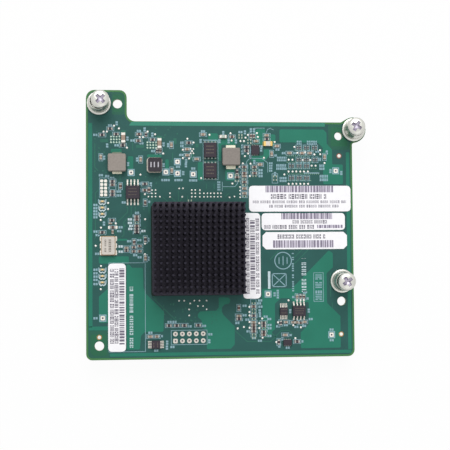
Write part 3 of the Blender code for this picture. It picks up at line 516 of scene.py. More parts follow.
# Boxes strewn with covered vias, and how many vias each holds
TENTED_FIELDS = [
    (28.0, 12.8, 41.0, 20.4, 26), (3.2, 68.0, 7.4, 84.0, 9), (15.4, 63.2, 34.0, 67.0, 12),
    (25.0, 80.0, 33.5, 85.0, 9), (14.0, 54.4, 22.4, 57.0, 6), (44.5, 12.0, 47.4, 16.6, 6),
    (9.6, 45.0, 22.0, 50.0, 8),
]
TENTED_VIA = [(0.3, 0.002), (0.3, 0.02), (0.18, 0.04)]
# Bare fields about the fixing holes, each with its hole's place and clear radius
OLIVE = [
    ([(0.5, 2.0), (2.2, 0.5), (8.3, 0.5), (8.3, 9.6), (7.4, 10.7), (0.5, 10.7)], (4.73, 5.08, 1.8)),
    ([(9.4, 89.6), (14.2, 89.6), (14.2, 97.6), (13.6, 98.2), (9.4, 98.2)], (11.5, 93.65, 1.8)),
    ([(89.8, 76.9), (98.2, 76.9), (98.2, 79.4), (95.0, 82.4), (95.0, 86.4), (89.8, 86.4)],
     (93.65, 82.05, 1.6)),
]
TRACE_WIDTH = 0.32
LAYER_LOW = 0.003
OLIVE_LOW = 0.002
OLIVE_SOFT_TOP = 0.014
OLIVE_TOP = 0.024
RIM_TOP = 0.03
RIM_INSET = 0.03
RIM_WIDTH = 0.7


def reach_edge(edge, x, y, u, v):
    """Where a ray from a point inside a closed outline first meets it."""
    runs = []
    for (ax, ay), (bx, by) in zip(edge, edge[1:] + edge[:1]):
        dx, dy = bx - ax, by - ay
        cross = u * dy - v * dx
        if abs(cross) < 1e-9:
            continue
        run = ((ax - x) * dy - (ay - y) * dx) / cross
        along = ((ax - x) * v - (ay - y) * u) / cross
        if run > 0 and -1e-6 <= along <= 1 + 1e-6:
            runs.append(run)
    return x + min(runs) * u, y + min(runs) * v


def add_rim(build):
    outer, inner = inset(OUTLINE, RIM_INSET), inset(OUTLINE, RIM_WIDTH)
    for here in range(len(outer)):
        corners = [outer[here - 1], outer[here], inner[here], inner[here - 1]]
        build.prism(corners, LAYER_LOW, RIM_TOP, MASK_RIM)


def make_surface_layers():
    copper = Build("copper_pours")
    strips, faint, pours = ([rectangle(*box) for box in boxes]
                            for boxes in (EDGE_STRIPS, FAINT_PATCHES, POUR_BOXES))
    for outlines, radius, top, paint in (
            (strips, 0.25, MASK_TOP, MASK_COPPER), (BRIGHT_EDGES, 0.25, MASK_TOP, MASK_BRIGHT),
            (POURS + pours, 0.6, MASK_TOP, MASK_COPPER), (faint, 0.25, MASK_TOP - 0.008, MASK_TRACE)):
        for points in outlines:
            copper.prism(rounded(points, radius), FIELD_LOW, top, paint)
    for points in TRACES:
        copper.line(points, TRACE_WIDTH, LAYER_LOW, MASK_TOP - 0.005, MASK_TRACE)
    draw = random.Random(5)
    for x0, y0, x1, y1, count in TENTED_FIELDS:
        for _ in range(count):
            copper.turned(draw.uniform(x0, x1), draw.uniform(y0, y1), TENTED_VIA, MASK_TRACE, 10)
    copper.finish(slot="board")
    olive = Build("bare_fields")
    for points, (x, y, radius) in OLIVE:
        edge = rounded(points, 0.8)
        turns = sorted({round(math.atan2(b - y, a - x) % (2 * math.pi), 3) for a, b in edge}
                       | {math.pi * step / 18 for step in range(36)})
        rays = [(math.cos(turn), math.sin(turn)) for turn in turns]
        hole = [(x + radius * u, y + radius * v) for u, v in rays]
        rim = [reach_edge(edge, x, y, u, v) for u, v in rays]
        inner = [(a + 0.25 * (x - a), b + 0.25 * (y - b)) for a, b in rim]
        inner = [p if math.dist(p, (x, y)) > radius + 0.1 else q for p, q in zip(inner, rim)]
        for ring, top, paint in ((rim, OLIVE_SOFT_TOP, MASK_OLIVE_SOFT), (inner, OLIVE_TOP, MASK_OLIVE)):
            levels = ((hole, top), (ring, top), (ring, OLIVE_LOW), (hole, OLIVE_LOW))
            olive.loft([[(a, b, level) for a, b in part] for part, level in levels], paint, ring_closed=True)
    olive.finish(slot="board")
    rim = Build("board_rim")
    add_rim(rim)
    rim.finish(slot="board")


# Solder, pads and plated holes

DOTS = [
    (10.2, 85.5), (12.0, 84.5), (6.4, 83.3), (7.6, 83.3), (14.9, 77.4), (22.5, 83.4), (25.2, 82.4),
    (19.6, 81.3), (20.8, 81.3), (28.2, 75.3), (19.8, 67.5), (37.1, 80.8), (39.4, 79.4), (35.4, 76.7),
    (35.4, 73.6), (37.7, 73.5), (38.8, 76.2), (45.3, 82.3), (53.1, 82.9), (53.5, 80.2), (56.8, 80.0),
    (58.1, 80.0), (59.6, 82.3), (58.7, 81.3), (63.0, 83.0), (63.3, 81.6), (59.6, 75.4), (58.4, 74.4),
    (57.6, 71.7), (60.5, 71.6), (60.2, 67.0), (56.3, 70.4), (65.5, 73.8), (42.1, 66.2), (53.7, 64.2),
    (69.6, 79.7), (77.0, 77.9), (86.7, 76.7), (86.7, 75.2), (84.5, 75.1), (78.1, 75.7), (81.0, 75.9),
    (74.8, 73.1), (76.2, 73.1), (80.1, 73.0), (82.9, 73.0), (88.3, 71.9), (83.4, 70.9), (84.9, 70.9),
    (73.1, 67.6), (8.0, 57.1), (8.0, 54.9), (5.3, 50.9), (5.4, 48.1), (3.5, 41.5), (5.4, 34.1),
    (21.4, 60.3), (21.4, 42.2), (21.4, 38.3), (21.5, 51.1), (10.8, 49.6), (5.3, 25.7), (59.6, 18.7),
    (59.6, 16.8), (59.6, 15.5), (59.6, 13.1), (59.6, 11.0), (57.5, 11.3), (55.2, 10.8), (63.2, 12.6),
    (63.2, 10.8), (64.3, 14.3), (64.4, 7.3), (74.2, 20.9), (77.4, 20.9), (78.7, 20.9), (79.9, 20.9),
    (70.2, 12.8), (75.9, 11.7), (78.7, 10.9), (69.5, 5.6), (76.6, 6.9),
]
DOTS += [(x, y) for y in (68.7, 64.1) for x in (74.7, 76.2, 77.6, 79.1, 80.5, 82.0)]
FINE_DOTS = [
    (52.6, 59.1), (54.4, 59.4), (56.5, 62.9), (56.5, 61.6), (56.5, 60.3), (56.5, 59.1), (34.0, 62.4),
    (35.4, 62.4), (35.1, 59.3), (24.0, 61.8), (25.3, 61.8), (24.0, 60.6), (25.3, 60.6), (22.7, 59.4),
    (24.0, 59.4), (25.3, 59.4), (26.9, 59.4), (30.6, 60.6), (30.6, 59.3), (33.7, 21.2), (35.6, 21.2),
    (39.3, 21.2), (41.2, 21.2), (43.8, 21.2), (37.8, 20.2), (40.6, 19.2), (42.5, 19.2), (37.4, 18.0),
    (43.8, 18.0), (37.4, 15.8), (38.3, 77.0), (39.3, 77.0), (38.3, 75.4), (39.3, 75.4),
]
FINE_DOTS += [(x, y) for y in (60.6, 59.3) for x in (38.6, 39.9, 41.6, 43.1, 44.4, 45.6, 46.9, 48.2, 49.4)]
FINE_DOTS += [(x, 61.8) for x in (38.6, 39.9, 41.6)]
MINT_DOTS = [(9.1 + 1.03 * column, 79.4 + 1.05 * row) for row in range(3) for column in range(4)]
MINT_DOTS += [(22.4 + 1.07 * column, 77.4 + 1.0 * row) for row in range(3) for column in range(4)]
# Rows of vias: from x, to x, and y
VIA_ROWS = [
    (77.2, 85.6, 76.8), (74.2, 82.9, 74.6), (74.2, 83.9, 72.2), (74.2, 85.0, 69.9), (74.4, 86.0, 67.8),
    (74.1, 83.0, 65.4),
]
VIA_PITCH = 0.76
# Radius and height pairs of the turned dots
DOT = [(0.4, 0.0), (0.4, 0.06), (0.33, 0.15), (0.16, 0.21), (0.02, 0.22)]
FINE_DOT = [(0.3, 0.0), (0.3, 0.05), (0.22, 0.11), (0.02, 0.14)]
MINT_DOT = [(0.34, 0.0), (0.34, 0.05), (0.22, 0.09)]
VIA_DOT = [(0.17, 0.0), (0.17, 0.03), (0.1, 0.05)]
TEST_POINTS = [
    (16.4, 68.3), (29.1, 68.5), (33.4, 72.3), (33.4, 68.0), (39.2, 67.7), (53.0, 67.1), (92.5, 69.0),
    (66.6, 23.3), (6.0, 15.2), (90.2, 8.0),
]
HEADER = [(32.34 + 2.54 * column, 6.54 + 2.54 * row) for column in range(5) for row in range(2)]
PLATED = [(93.82, 74.6, COPPER_RING), (4.75, 8.25, BRASS_RING), (93.82, 8.2, BRASS_RING)]
UNFITTED = [
    (61.2, 19.9), (61.2, 17.7), (61.2, 16.5), (61.2, 14.2), (61.2, 8.5), (64.9, 10.8), (58.1, 69.4),
    (58.1, 65.9), (58.1, 63.7), (58.1, 59.5), (61.9, 69.4), (61.9, 67.1), (55.4, 67.5), (55.4, 65.2),
    (61.2, 7.4), (37.9, 58.0), (69.6, 66.9), (69.6, 65.6), (18.4, 49.9), (56.8, 82.3), (56.8, 81.3),
    (60.1, 80.5), (60.1, 79.3),
]
BARREL_RADIUS = 0.48
RING_STEPS = 20


def add_ring(build, x, y, bore, spread, high, paint, square=False):
    """Annular pads on both faces, joined by the plated barrel."""
    turns = [2 * math.pi * step / RING_STEPS for step in range(RING_STEPS)]
    low = -BOARD_THICK - 0.05
    rings = []
    for radius, level in ((bore, high), (spread, high), (spread, 0.0), (BARREL_RADIUS, -0.02),
                          (BARREL_RADIUS, 0.02 - BOARD_THICK), (spread, -BOARD_THICK), (spread, low),
                          (bore, low)):
        ring = []
        for a in turns:
            reach = radius
            if square and radius == spread:
                reach *= 0.9 / max(abs(math.cos(a)), abs(math.sin(a)))
            ring.append((x + reach * math.cos(a), y + reach * math.sin(a), level))
        rings.append(ring)
    build.loft(rings, paint, ring_closed=True)


def make_solder():
    via_dots = []
    for x0, x1, y in VIA_ROWS:
        count = round((x1 - x0) / VIA_PITCH)
        via_dots += [(x0 + number * (x1 - x0) / count, y) for number in range(count + 1)]
    dots = Build("solder_dots")
    kinds = ((DOTS, DOT, SOLDER, 12), (FINE_DOTS, FINE_DOT, SOLDER, 10), (MINT_DOTS, MINT_DOT, MINT_PAD, 10),
             (via_dots, VIA_DOT, VIA_PALE, 8))
    for places, profile, paint, steps in kinds:
        for x, y in places:
            dots.turned(x, y, profile, paint, steps)
    dots.finish(slot="tin", smooth=50)
    pads = Build("test_pads")
    for x, y in TEST_POINTS:
        pads.prism(rounded(rectangle(*about(x, y, 0.8, 0.8)), 0.35), 0.0, PAD_TOP + 0.02, PAD_TIN)
        # A dark disc over each pad's middle: painted shade standing for the hole in the pad.
        pads.turned(x, y, [(0.33, 0.02), (0.33, PAD_TOP + 0.04), (0.24, PAD_TOP + 0.05)], HOLE_PAINTED_SHADE, 12)
    for x in (5.7, 7.1):
        for y in (65.2, 63.9, 62.6, 61.3, 60.1):
            pads.prism(rounded(rectangle(*about(x, y, 0.56, 0.52)), 0.35), 0.0, PAD_TOP, PAD_TIN)
    for x, y in UNFITTED:
        for side in (-0.52, 0.52):
            pads.block(*about(x + side, y, 0.22, 0.36), 0.0, PAD_TOP, BARE_PAD)
    for x0, x1 in ((8.0, 8.6), (10.5, 11.4)):
        pads.block(x0, 47.7, x1, 48.7, 0.0, PAD_TOP, PAD_TIN)
    pads.finish(slot="tin")
    rings = Build("plated_holes")
    for number, (x, y) in enumerate(HEADER):
        add_ring(rings, x, y, 0.34, 0.86 if number else 0.92, 0.06, TINNED, square=number == 0)
        # A grey disc inside the barrel: painted shade for the depth of the open hole.
        rings.turned(x, y, [(0.36, -0.9), (0.36, -0.5)], HOLE_DEPTH_PAINTED_SHADE)
    for x, y, paint in PLATED:
        add_ring(rings, x, y, 0.44, 0.95, 0.05, paint)
        rings.turned(x, y, [(0.46, -0.7), (0.46, 0.02), (0.62, 0.06), (0.4, 0.09)], SOLDER)
    rings.finish(slot="tin", smooth=40)


# Chip parts

# Chips near these places are tan, or black; the others' colours are drawn at random
TAN_CHIPS = [
    (42.9, 82.4), (75.1, 75.6), (79.8, 75.6), (82.7, 75.6), (70.4, 78.2), (68.4, 75.3), (88.3, 74.2),
    (62.6, 80.0), (40.5, 73.3), (64.0, 71.3), (31.3, 69.0), (31.2, 78.5), (19.9, 73.1), (5.4, 73.9),
    (37.1, 76.9), (37.0, 74.7), (23.2, 8.3), (72.8, 8.2), (73.1, 12.9), (80.1, 12.9), (66.6, 82.2),
]
BLACK_CHIPS = [
    (8.8, 84.4), (11.0, 82.4), (13.4, 78.3), (21.9, 82.3), (24.3, 80.4), (37.6, 79.3), (71.2, 12.6),
    (5.9, 82.1), (30.0, 12.2), (32.8, 12.2), (35.6, 12.2), (40.7, 12.2), (66.6, 80.8), (59.0, 77.8),
    (59.0, 76.4), (77.2, 5.7),
]
SMALL_CHIPS = [(8.3, 49.4, 9.3, 49.9, CHIP_TAN), (9.3, 45.9, 10.0, 47.2, CHIP_GREY),
               (54.6, 66.2, 56.2, 67.0, CHIP_BROWN)]
SMALL_CHIP_HEIGHT = 0.45
# The group of chips at the upper right whose ends look dull
DULL_GROUP = (74.0, 64.0, 87.0, 79.0)
NARROW_CHIP = 0.6


def add_chip(build, box, body, metal, crown=0.02, pad=0.16):
    """Chip part over a box, along its long side: body, wrapped metal ends, solder fillets and pads."""
    x0, y0, x1, y1, low, high = box
    along_x = x1 - x0 >= y1 - y0
    length, width = (x1 - x0, y1 - y0) if along_x else (y1 - y0, x1 - x0)
    cx, cy = (x0 + x1) / 2, (y0 + y1) / 2
    end = 0.23 * length
    half = length / 2 + crown
    side = width / 2 + crown
    top = high + crown

    def spot(u, v, z):
        return (cx + u, cy + v, z) if along_x else (cx - v, cy + u, z)

    def slab(u0, u1, v, z1, paint, bevel):
        build.loft([[spot(*corner, level) for corner in rectangle(u0 + less, less - v, u1 - less, v - less)]
                    for level, less in ((low, 0.0), (z1 - bevel, 0.0), (z1, bevel))], paint)

    slab(end - half, half - end, side, top, body, 0.03)
    for sign in (-1, 1):
        slab(*sorted((sign * half, sign * (half - end))), side + 0.03, top + 0.03, metal, 0.05)
        foot = sign * (half + pad)
        profile = [(sign * half, 0.0), (foot, 0.0), (foot, 0.05), (sign * (half + 0.35 * pad), 0.25 * top),
                   (sign * half, 0.6 * top)]
        along = [b - a for a, b in zip(spot(0, -side, 0), spot(0, side, 0))]
        build.sweep([spot(u, -side, z) for u, z in profile], along, metal)


def near(spot, places, reach=0.5):
    return any(abs(spot[0] - x) < reach and abs(spot[1] - y) < reach for x, y in places)


def make_chips():
    parts = Build("chip_parts")
    print_lines = Build("chip_print")
    choose = random.Random(11)
    for x0, y0, x1, y1, high in CHIPS:
        centre = ((x0 + x1) / 2, (y0 + y1) / 2)
        if near(centre, TAN_CHIPS):
            body = CHIP_TAN
        elif near(centre, BLACK_CHIPS):
            body = CHIP_BLACK
        else:
            body = choose.choice((CHIP_BROWN, CHIP_BROWN, CHIP_GREY, CHIP_BLACK))
        metal = END_TIN
        left, lower, right, upper = DULL_GROUP
        if left < centre[0] < right and lower < centre[1] < upper and body is not CHIP_TAN:
            body, metal = CHIP_SLATE, END_DULL
        elif min(x1 - x0, y1 - y0) < NARROW_CHIP:
            x0, y0, x1, y1 = x0 - 0.15, y0 - 0.12, x1 + 0.15, y1 + 0.12
        add_chip(parts, (x0, y0, x1, y1, 0.0, high), body, metal)
        du, dv = (0.55, 0.3) if x1 - x0 > y1 - y0 else (0.3, 0.55)
        print_lines.line(rectangle(x0 - du, y0 - dv, x1 + du, y1 + dv), 0.2, PRINT_LOW, PRINT_TOP, PRINT_SOFT,
                         closed=True)
    for x0, y0, x1, y1, body in SMALL_CHIPS:
        add_chip(parts, (x0, y0, x1, y1, 0.0, SMALL_CHIP_HEIGHT), body, END_TIN)
    parts.finish(slot="capacitor")
    print_lines.finish(slot="board")


def make_named_chips():
    for name, body, metal, slot in (
            ("left_bulk_capacitor", CHIP_TAN, PAD_TIN, "capacitor"),
            ("middle_bulk_capacitor", CHIP_TAN, PAD_TIN, "capacitor"),
            ("right_bulk_capacitor", LAMP_BODY, PAD_TIN, "capacitor"),
            ("chip_fuse", CERAMIC_LIGHT, GOLD, "light_ceramic")):
        part = Build(name + "_dressed")
        add_chip(part, node_box(name), body, metal, crown=0.0, pad=0.3)
        part.finish(slot=slot, stands_for=(name,))
    for number in range(1, 7):
        name = f"indicator_{number}"
        x0, y0, x1, y1, low, high = node_box(name)
        cx, cy = (x0 + x1) / 2, (y0 + y1) / 2
        half_x, half_y = (x1 - x0) / 2, (y1 - y0) / 2
        lamp = Build(name + "_lamp")
        lamp.block(x0, y0, x1, y1, low, low + 0.2, LAMP_BODY)
        lens_x, lens_y = 0.55 * half_x, 0.62 * half_y
        levels = ((low + 0.15, 1.0), (high - 0.12, 0.97), (high - 0.03, 0.85), (high, 0.6))
        lamp.loft([[(cx + u * lens_x * share, cy + v * lens_y * share, level) for u, v in SQUARE]
                   for level, share in levels], LENS)
        for side in (-1, 1):
            edge = cx + side * half_x
            a, b = sorted((edge, cx + side * 0.62 * half_x))
            lamp.block(a, y0, b, y1, low, low + 0.32, LAMP_BODY, draft=0.02)
            a, b = sorted((edge, edge + side * 0.25))
            lamp.block(a, y0, b, y1, 0.0, PAD_TOP, END_TIN)
        lamp.finish(slot="lamp", stands_for=(name,))


# Moulded packages and the parts beside them

LEAD_SHARES = ((0.25, 1.0), (0.40, 0.86), (0.55, 0.25))
BODY_DRAFT = 0.12
MARK_SUNK = 0.02


def bent_lead(body_half, span_half, height, thick):
    """Side outline of one gull-wing lead from inside the body to its foot, as distance and height pairs."""
    reach = span_half - body_half
    path = [(body_half - 0.3, height)]
    path += [(body_half + share * reach, rise * height) for share, rise in LEAD_SHARES]
    path += [(body_half + 0.68 * reach, thick / 2), (span_half, thick / 2)]
    upper, lower = [], []
    for here, (u, w) in enumerate(path):
        run = (Vector(path[min(len(path) - 1, here + 1)]) - Vector(path[max(0, here - 1)])).normalized()
        upper.append((u - run.y * thick / 2, w + run.x * thick / 2))
        lower.append((u + run.y * thick / 2, w - run.x * thick / 2))
    return upper + lower[::-1]


def make_leaded(name, size, count, pitch, lead_width, thick, marks, turn=0, stub=False):
    """Moulded body with leads on two sides, about the middle of the node's box and turned by degrees."""
    x0, y0, x1, y1, low, high = node_box(name)
    half_u, half_v = size[0] / 2, size[1] / 2
    span = (x1 - x0 if turn else y1 - y0) / 2
    middle = Matrix.Translation(((x0 + x1) / 2, (y0 + y1) / 2, 0.0))
    part = Build(name + "_dressed", TO_CARD @ middle @ Matrix.Rotation(math.radians(turn), 4, "Z"))
    waist = low + 0.45 * (high - low)
    part.loft([[(u * (half_u - less), v * (half_v - less), level) for u, v in SQUARE] for level, less in
               ((low, BODY_DRAFT), (waist, 0.0), (waist + 0.06, 0.0), (high - 0.06, 0.8 * BODY_DRAFT),
                (high, 1.3 * BODY_DRAFT))], MOULDED)
    metal, wetted, mark_half = TINNED, SOLDER, 0.12
    outline = bent_lead(half_v, span, waist - low, thick)
    if stub:
        metal, wetted, mark_half = END_DULL, BARE_PAD, 0.19
        outline = [(half_v - 0.4, thick + 0.1), (half_v - 0.4, 0.0), (span, 0.0), (span, thick + 0.1)]
    toe = 0.12 if pitch > 1 else 0.03
    along = (lead_width, 0.0, 0.0)
    for side in (-1, 1):
        for number in range(count):
            u = (number - (count - 1) / 2) * pitch
            left = u - lead_width / 2
            part.sweep([(left, side * v, low + w) for v, w in outline], along, metal)
            half = (lead_width + toe) / 2
            part.block(u - half, side * (span - 0.75), u + half, side * (span + toe), 0.0, PAD_TOP, wetted)
            heel, tip = side * (span - 0.02), side * (span + 0.8 * toe)
            fillet = ((heel, 0.03), (tip, 0.03), (heel, low + 1.2 * thick))
            part.sweep([(left, v, w) for v, w in fillet], along, wetted)
    for row in range(marks):
        v = half_v * (0.5 - 0.9 * row / (marks - 1))
        left = -0.62 * half_u
        draw = random.Random(40 + row + len(name))
        while left < 0.55 * half_u:
            wide = draw.uniform(0.25, 0.6)
            box = (left, v - mark_half, left + wide, v + mark_half)
            part.block(*box, high - MARK_SUNK, high + 0.004, MARKING)
            left += wide + 0.14
    part.finish(slot="moulded_black", stands_for=(name,))


def make_packages():
    make_leaded("flash_memory", (5.1, 4.9), 4, 1.27, 0.45, 0.2, 3)
    make_leaded("bus_driver", (4.9, 3.8), 4, 1.27, 0.45, 0.2, 3)
    make_leaded("voltage_monitor", (3.0, 2.8), 5, 0.56, 0.32, 0.16, 2)
    make_leaded("clock_buffer", (3.0, 3.1), 5, 0.56, 0.32, 0.16, 2, turn=90)
    make_leaded("upper_power_switch", (4.7, 5.5), 4, 1.27, 0.5, 0.2, 3, stub=True)
    make_leaded("lower_power_switch", (4.7, 5.5), 4, 1.27, 0.5, 0.2, 3, stub=True)


def make_package_trim():
    """Pads at the flat packages' ends, the oscillator's contacts, and marks on its lid and the choke."""
    trim = Build("package_trim")
    for name in ("supply_controller", "reset_chip"):
        x0, y0, x1, y1, _, _ = node_box(name)
        for side, edge in ((-1, y0), (1, y1)):
            a, b = sorted((edge - side * 0.1, edge + side * 0.28))
            for step in (-1.5, -0.5, 0.5, 1.5):
                x = (x0 + x1) / 2 + 0.65 * step
                trim.block(x - 0.17, a, x + 0.17, b, 0.0, 0.22, END_TIN)
    x0, y0, x1, y1, _, base_top = node_box("oscillator_base")
    for side, edge in ((-1, x0), (1, x1)):
        for number in (-1, 0, 1):
            y = (y0 + y1) / 2 + 2.54 * number
            a, b = sorted((edge - side * 0.35, edge + side * 0.36))
            trim.prism(rounded(rectangle(a, y - 0.85, b, y + 0.85), 0.25), 0.0, 0.12, PAD_TIN)
            a, b = sorted((edge - side * 0.32, edge + side * 0.05))
            for step in (-0.5, 0.5):
                trim.block(a, y + step - 0.3, b, y + step + 0.3, 0.1, base_top - 0.1, PAD_TIN)
    x0, y0, x1, y1, _, high = node_box("oscillator_lid")
    trim.line(rectangle(x0 - 0.08, y0 - 0.08, x1 + 0.08, y1 + 0.08), 0.24, base_top - 0.02, base_top + 0.05,
              BRASS_RING, closed=True)
    for share, wide, seed in ((0.28, 0.3, 28), (0.62, 0.42, 62)):
        x = x0 + share * (x1 - x0)
        blocks(trim, (x - wide, y0 + 1.0, x + wide, y1 - 1.0), seed, high - MARK_SUNK, high + 0.01, MARKING,
               0.62, 0.22, upright=True, marked=True)
    x0, y0, x1, y1, _, high = node_box("choke_core")
    for share in (0.22, 0.46, 0.74):
        x = x0 + share * (x1 - x0)
        trim.block(x - 0.2, y0 + 1.5, x + 0.2, y1 - 1.6, high - MARK_SUNK, high + 0.01, PALE_MARKING)
    trim.finish(slot="tin")


# Heat sink

PIN_COUNT = 16
PIN_PITCH = 2.13
PIN_STEPS = 14
SINK_BASE = 1.5
SINK_CORNER = 1.6


def make_heat_sink():
    x0, y0, x1, y1, low, high = node_box("heat_sink")
    cx, cy = (x0 + x1) / 2, (y0 + y1) / 2
    root = low + SINK_BASE
    sink = Build("pin_fin_heat_sink")
    rings = []
    for level, less in ((low, 0.15), (low + 0.15, 0.0), (root - 0.2, 0.0), (root, 0.2)):
        corners = rounded(rectangle(x0 + less, y0 + less, x1 - less, y1 - less), SINK_CORNER, 5)
        rings.append([(x, y, level) for x, y in corners])
    # The base takes the lighter tone, painted light in the shade between the pins.
    sink.loft(rings, ANODISED_BASE_PAINTED_LIGHT)
    steps = [PIN_PITCH * (number - (PIN_COUNT - 1) / 2) for number in range(PIN_COUNT)]
    pin = [(0.62, root - 0.2), (0.62, root + 0.02), (0.55, root + 0.25), (0.48, high - 0.25)]
    # The pins' tips are a separate ring in the darker tone: painted shade on their lit tops.
    tip = [(0.47, high - 0.3), (0.48, high - 0.12), (0.4, high)]
    for dx in steps:
        for dy in steps:
            sink.turned(cx + dx, cy + dy, pin, ANODISED, PIN_STEPS)
            sink.turned(cx + dx, cy + dy, tip, ANODISED_TIP_PAINTED_SHADE, PIN_STEPS)
    sink.finish(slot="heat_sink", smooth=40, stands_for=("heat_sink",))


# Captive screws

SLEEVE_HEIGHT = 5.8
SLEEVE_RADIUS = 3.65
LIP_RADIUS = 3.2
LIP_ROUND = 0.1
FLANGE_LOW = 0.3
FLANGE_THICK = 0.8
FLANGE_RADIUS = 4.35
FLANGE_HOLLOW = 0.5
FLANGE_ROUND = 0.18
POCKET_RADIUS = 2.95
POCKET_FLOOR = 0.4
THROAT_RADIUS = 1.25
THROAT_DEPTH = 0.6
SHANK_RADIUS = 2.75
TAIL = 1.6
TAIL_BORE = 2.05
NECK_DROP = 0.6
SPRING_WIRE = 0.4
SPRING_RADIUS = 1.9
SPRING_TURNS = 5.0
SPRING_FOOT = 0.3
STEPS_PER_TURN = 24
WIRE_SIDES = 10
HEAD_RADIUS = 3.3
HEAD_LOW = 8.6
HEAD_HEIGHT = 1.8
# The head's dome as shares of its radius, and of its height from the top
DOME = ((0.45, 0.05), (0.62, 0.11), (0.75, 0.19), (0.86, 0.31), (0.94, 0.46), (0.985, 0.62), (1.0, 0.78))
THREAD_PITCH = 0.5
# The recess's cross: height from the head's top, half length, and width of its arms
CROSS = ((0.15, 2.1, 1.35), (-0.45, 1.75, 1.1), (-0.9, 1.05, 0.85), (-1.3, 0.5, 0.65))
TURN_STEPS = 56
TURNED_ANGLE = 38


def arc_points(radius_at, height_at, radius, start, end, steps=4):
    """Radius and height pairs round an arc, for a turned edge."""
    angles = [math.radians(start + (end - start) * step / steps) for step in range(steps + 1)]
    return [(radius_at + radius * math.cos(a), height_at + radius * math.sin(a)) for a in angles]


def make_ferrule(label):
    x0, y0, x1, y1, _, _ = node_box(label + "_ferrule")
    lip = SLEEVE_HEIGHT - LIP_ROUND
    flange_top = FLANGE_LOW + FLANGE_THICK
    flange = FLANGE_RADIUS - FLANGE_ROUND
    below = -BOARD_THICK - FLANGE_LOW
    tail = -BOARD_THICK - TAIL
    throat = POCKET_FLOOR - THROAT_DEPTH
    profile = arc_points(POCKET_RADIUS + LIP_ROUND, lip, LIP_ROUND, 180, 90)
    profile += arc_points(LIP_RADIUS - LIP_ROUND, lip, LIP_ROUND, 90, 15)
    profile += [(0.3 * LIP_RADIUS + 0.7 * SLEEVE_RADIUS, 0.55 * SLEEVE_HEIGHT)]
    hollow = (SLEEVE_RADIUS + FLANGE_HOLLOW, flange_top + FLANGE_HOLLOW)
    profile += arc_points(*hollow, FLANGE_HOLLOW, 180, 270, 8)
    profile += arc_points(flange, flange_top - FLANGE_ROUND, FLANGE_ROUND, 90, 0)
    profile += arc_points(flange, FLANGE_LOW + FLANGE_ROUND, FLANGE_ROUND, 0, -90)
    profile += [(SHANK_RADIUS, FLANGE_LOW), (SHANK_RADIUS, below), (3.45, below), (3.45, below - 0.3),
                (3.2, below - 0.5), (SHANK_RADIUS, below - 0.75), (SHANK_RADIUS, tail + 0.1),
                (SHANK_RADIUS - 0.1, tail), (TAIL_BORE + 0.1, tail), (TAIL_BORE, tail + 0.1),
                (TAIL_BORE, throat), (THROAT_RADIUS, throat), (THROAT_RADIUS, POCKET_FLOOR),
                (POCKET_RADIUS - 0.2, POCKET_FLOOR), (POCKET_RADIUS, POCKET_FLOOR + 0.2)]
    ferrule = Build(label + "_ferrule_turned")
    ferrule.turned((x0 + x1) / 2, (y0 + y1) / 2, profile, NICKEL, TURN_STEPS, ring_closed=True)
    ferrule.finish(slot="nickel", smooth=TURNED_ANGLE, stands_for=(label + "_ferrule",))


def screw_space(label):
    """Millimetres along the screw's own axis, with zero at the board's top face on that axis."""
    joint = JOINTS[label + "_screw_turn"]
    turn = Vector((0.0, 0.0, 1.0)).rotation_difference(Vector(joint["axis"])).to_matrix().to_4x4()
    drop = Matrix.Translation((0.0, 0.0, -(POCKET_FLOOR - THROAT_DEPTH / 2) * MM))
    return Matrix.Translation(Vector(joint["pos_m"])) @ turn @ drop @ Matrix.Scale(MM, 4)


def cut_recess(item, space, top, spin):
    """Sinks a tapered cross into the head and keeps the result as the object's mesh."""
    rings = []
    for level, span, width in CROSS:
        half = width / 2
        ring = []
        for quarter in range(4):
            angle = math.radians(90 * quarter + spin)
            cosine, sine = math.cos(angle), math.sin(angle)
            for u, v in ((span, half), (half + 0.12, half), (half, half + 0.12), (half, span)):
                ring.append((u * cosine - v * sine, u * sine + v * cosine, top + level))
        rings.append(ring)
    cutter = Build("recess_cutter", space)
    cutter.loft(rings, RECESS)
    tool = add_item("recess_cutter", cutter.mesh())
    step = item.modifiers.new("recess", "BOOLEAN")
    step.operation = "DIFFERENCE"
    step.solver = "EXACT"
    step.material_mode = "TRANSFER"
    step.object = tool
    bpy.context.view_layer.update()
    item.data = bpy.data.meshes.new_from_object(item.evaluated_get(bpy.context.evaluated_depsgraph_get()))
    item.modifiers.clear()
    bpy.data.objects.remove(tool, do_unlink=True)
    soften(item.data, TURNED_ANGLE)


def make_spring(label):
    """Coil with closed end turns from the pocket's floor to the screw's collar, which a press shortens."""
    space = screw_space(label)
    wire = SPRING_WIRE / 2
    low = POCKET_FLOOR + SPRING_FOOT + wire
    high = SLEEVE_HEIGHT - NECK_DROP - 0.05 - wire
    rings = []
    for step in range(int(SPRING_TURNS * STEPS_PER_TURN) + 1):
        turns = step / STEPS_PER_TURN
        closed = min(turns, 1.0) + max(0.0, turns - (SPRING_TURNS - 1.0))
        open_share = (turns - closed) / (SPRING_TURNS - 2.0)
        height = low + closed * SPRING_WIRE + open_share * (high - low - 2 * SPRING_WIRE)
        along = 2 * math.pi * turns
        ring = []
        for number in range(WIRE_SIDES):
            bend = 2 * math.pi * number / WIRE_SIDES
            out = SPRING_RADIUS + wire * math.cos(bend)
            ring.append((out * math.cos(along), out * math.sin(along), height + wire * math.sin(bend)))
        rings.append(ring)
    coil = Build(label + "_spring_coil", space)
    coil.loft(rings, SPRING_STEEL)
    item = coil.finish("spring_steel", label + "_spring", smooth=50, stands_for=(label + "_spring",))
    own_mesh(item)


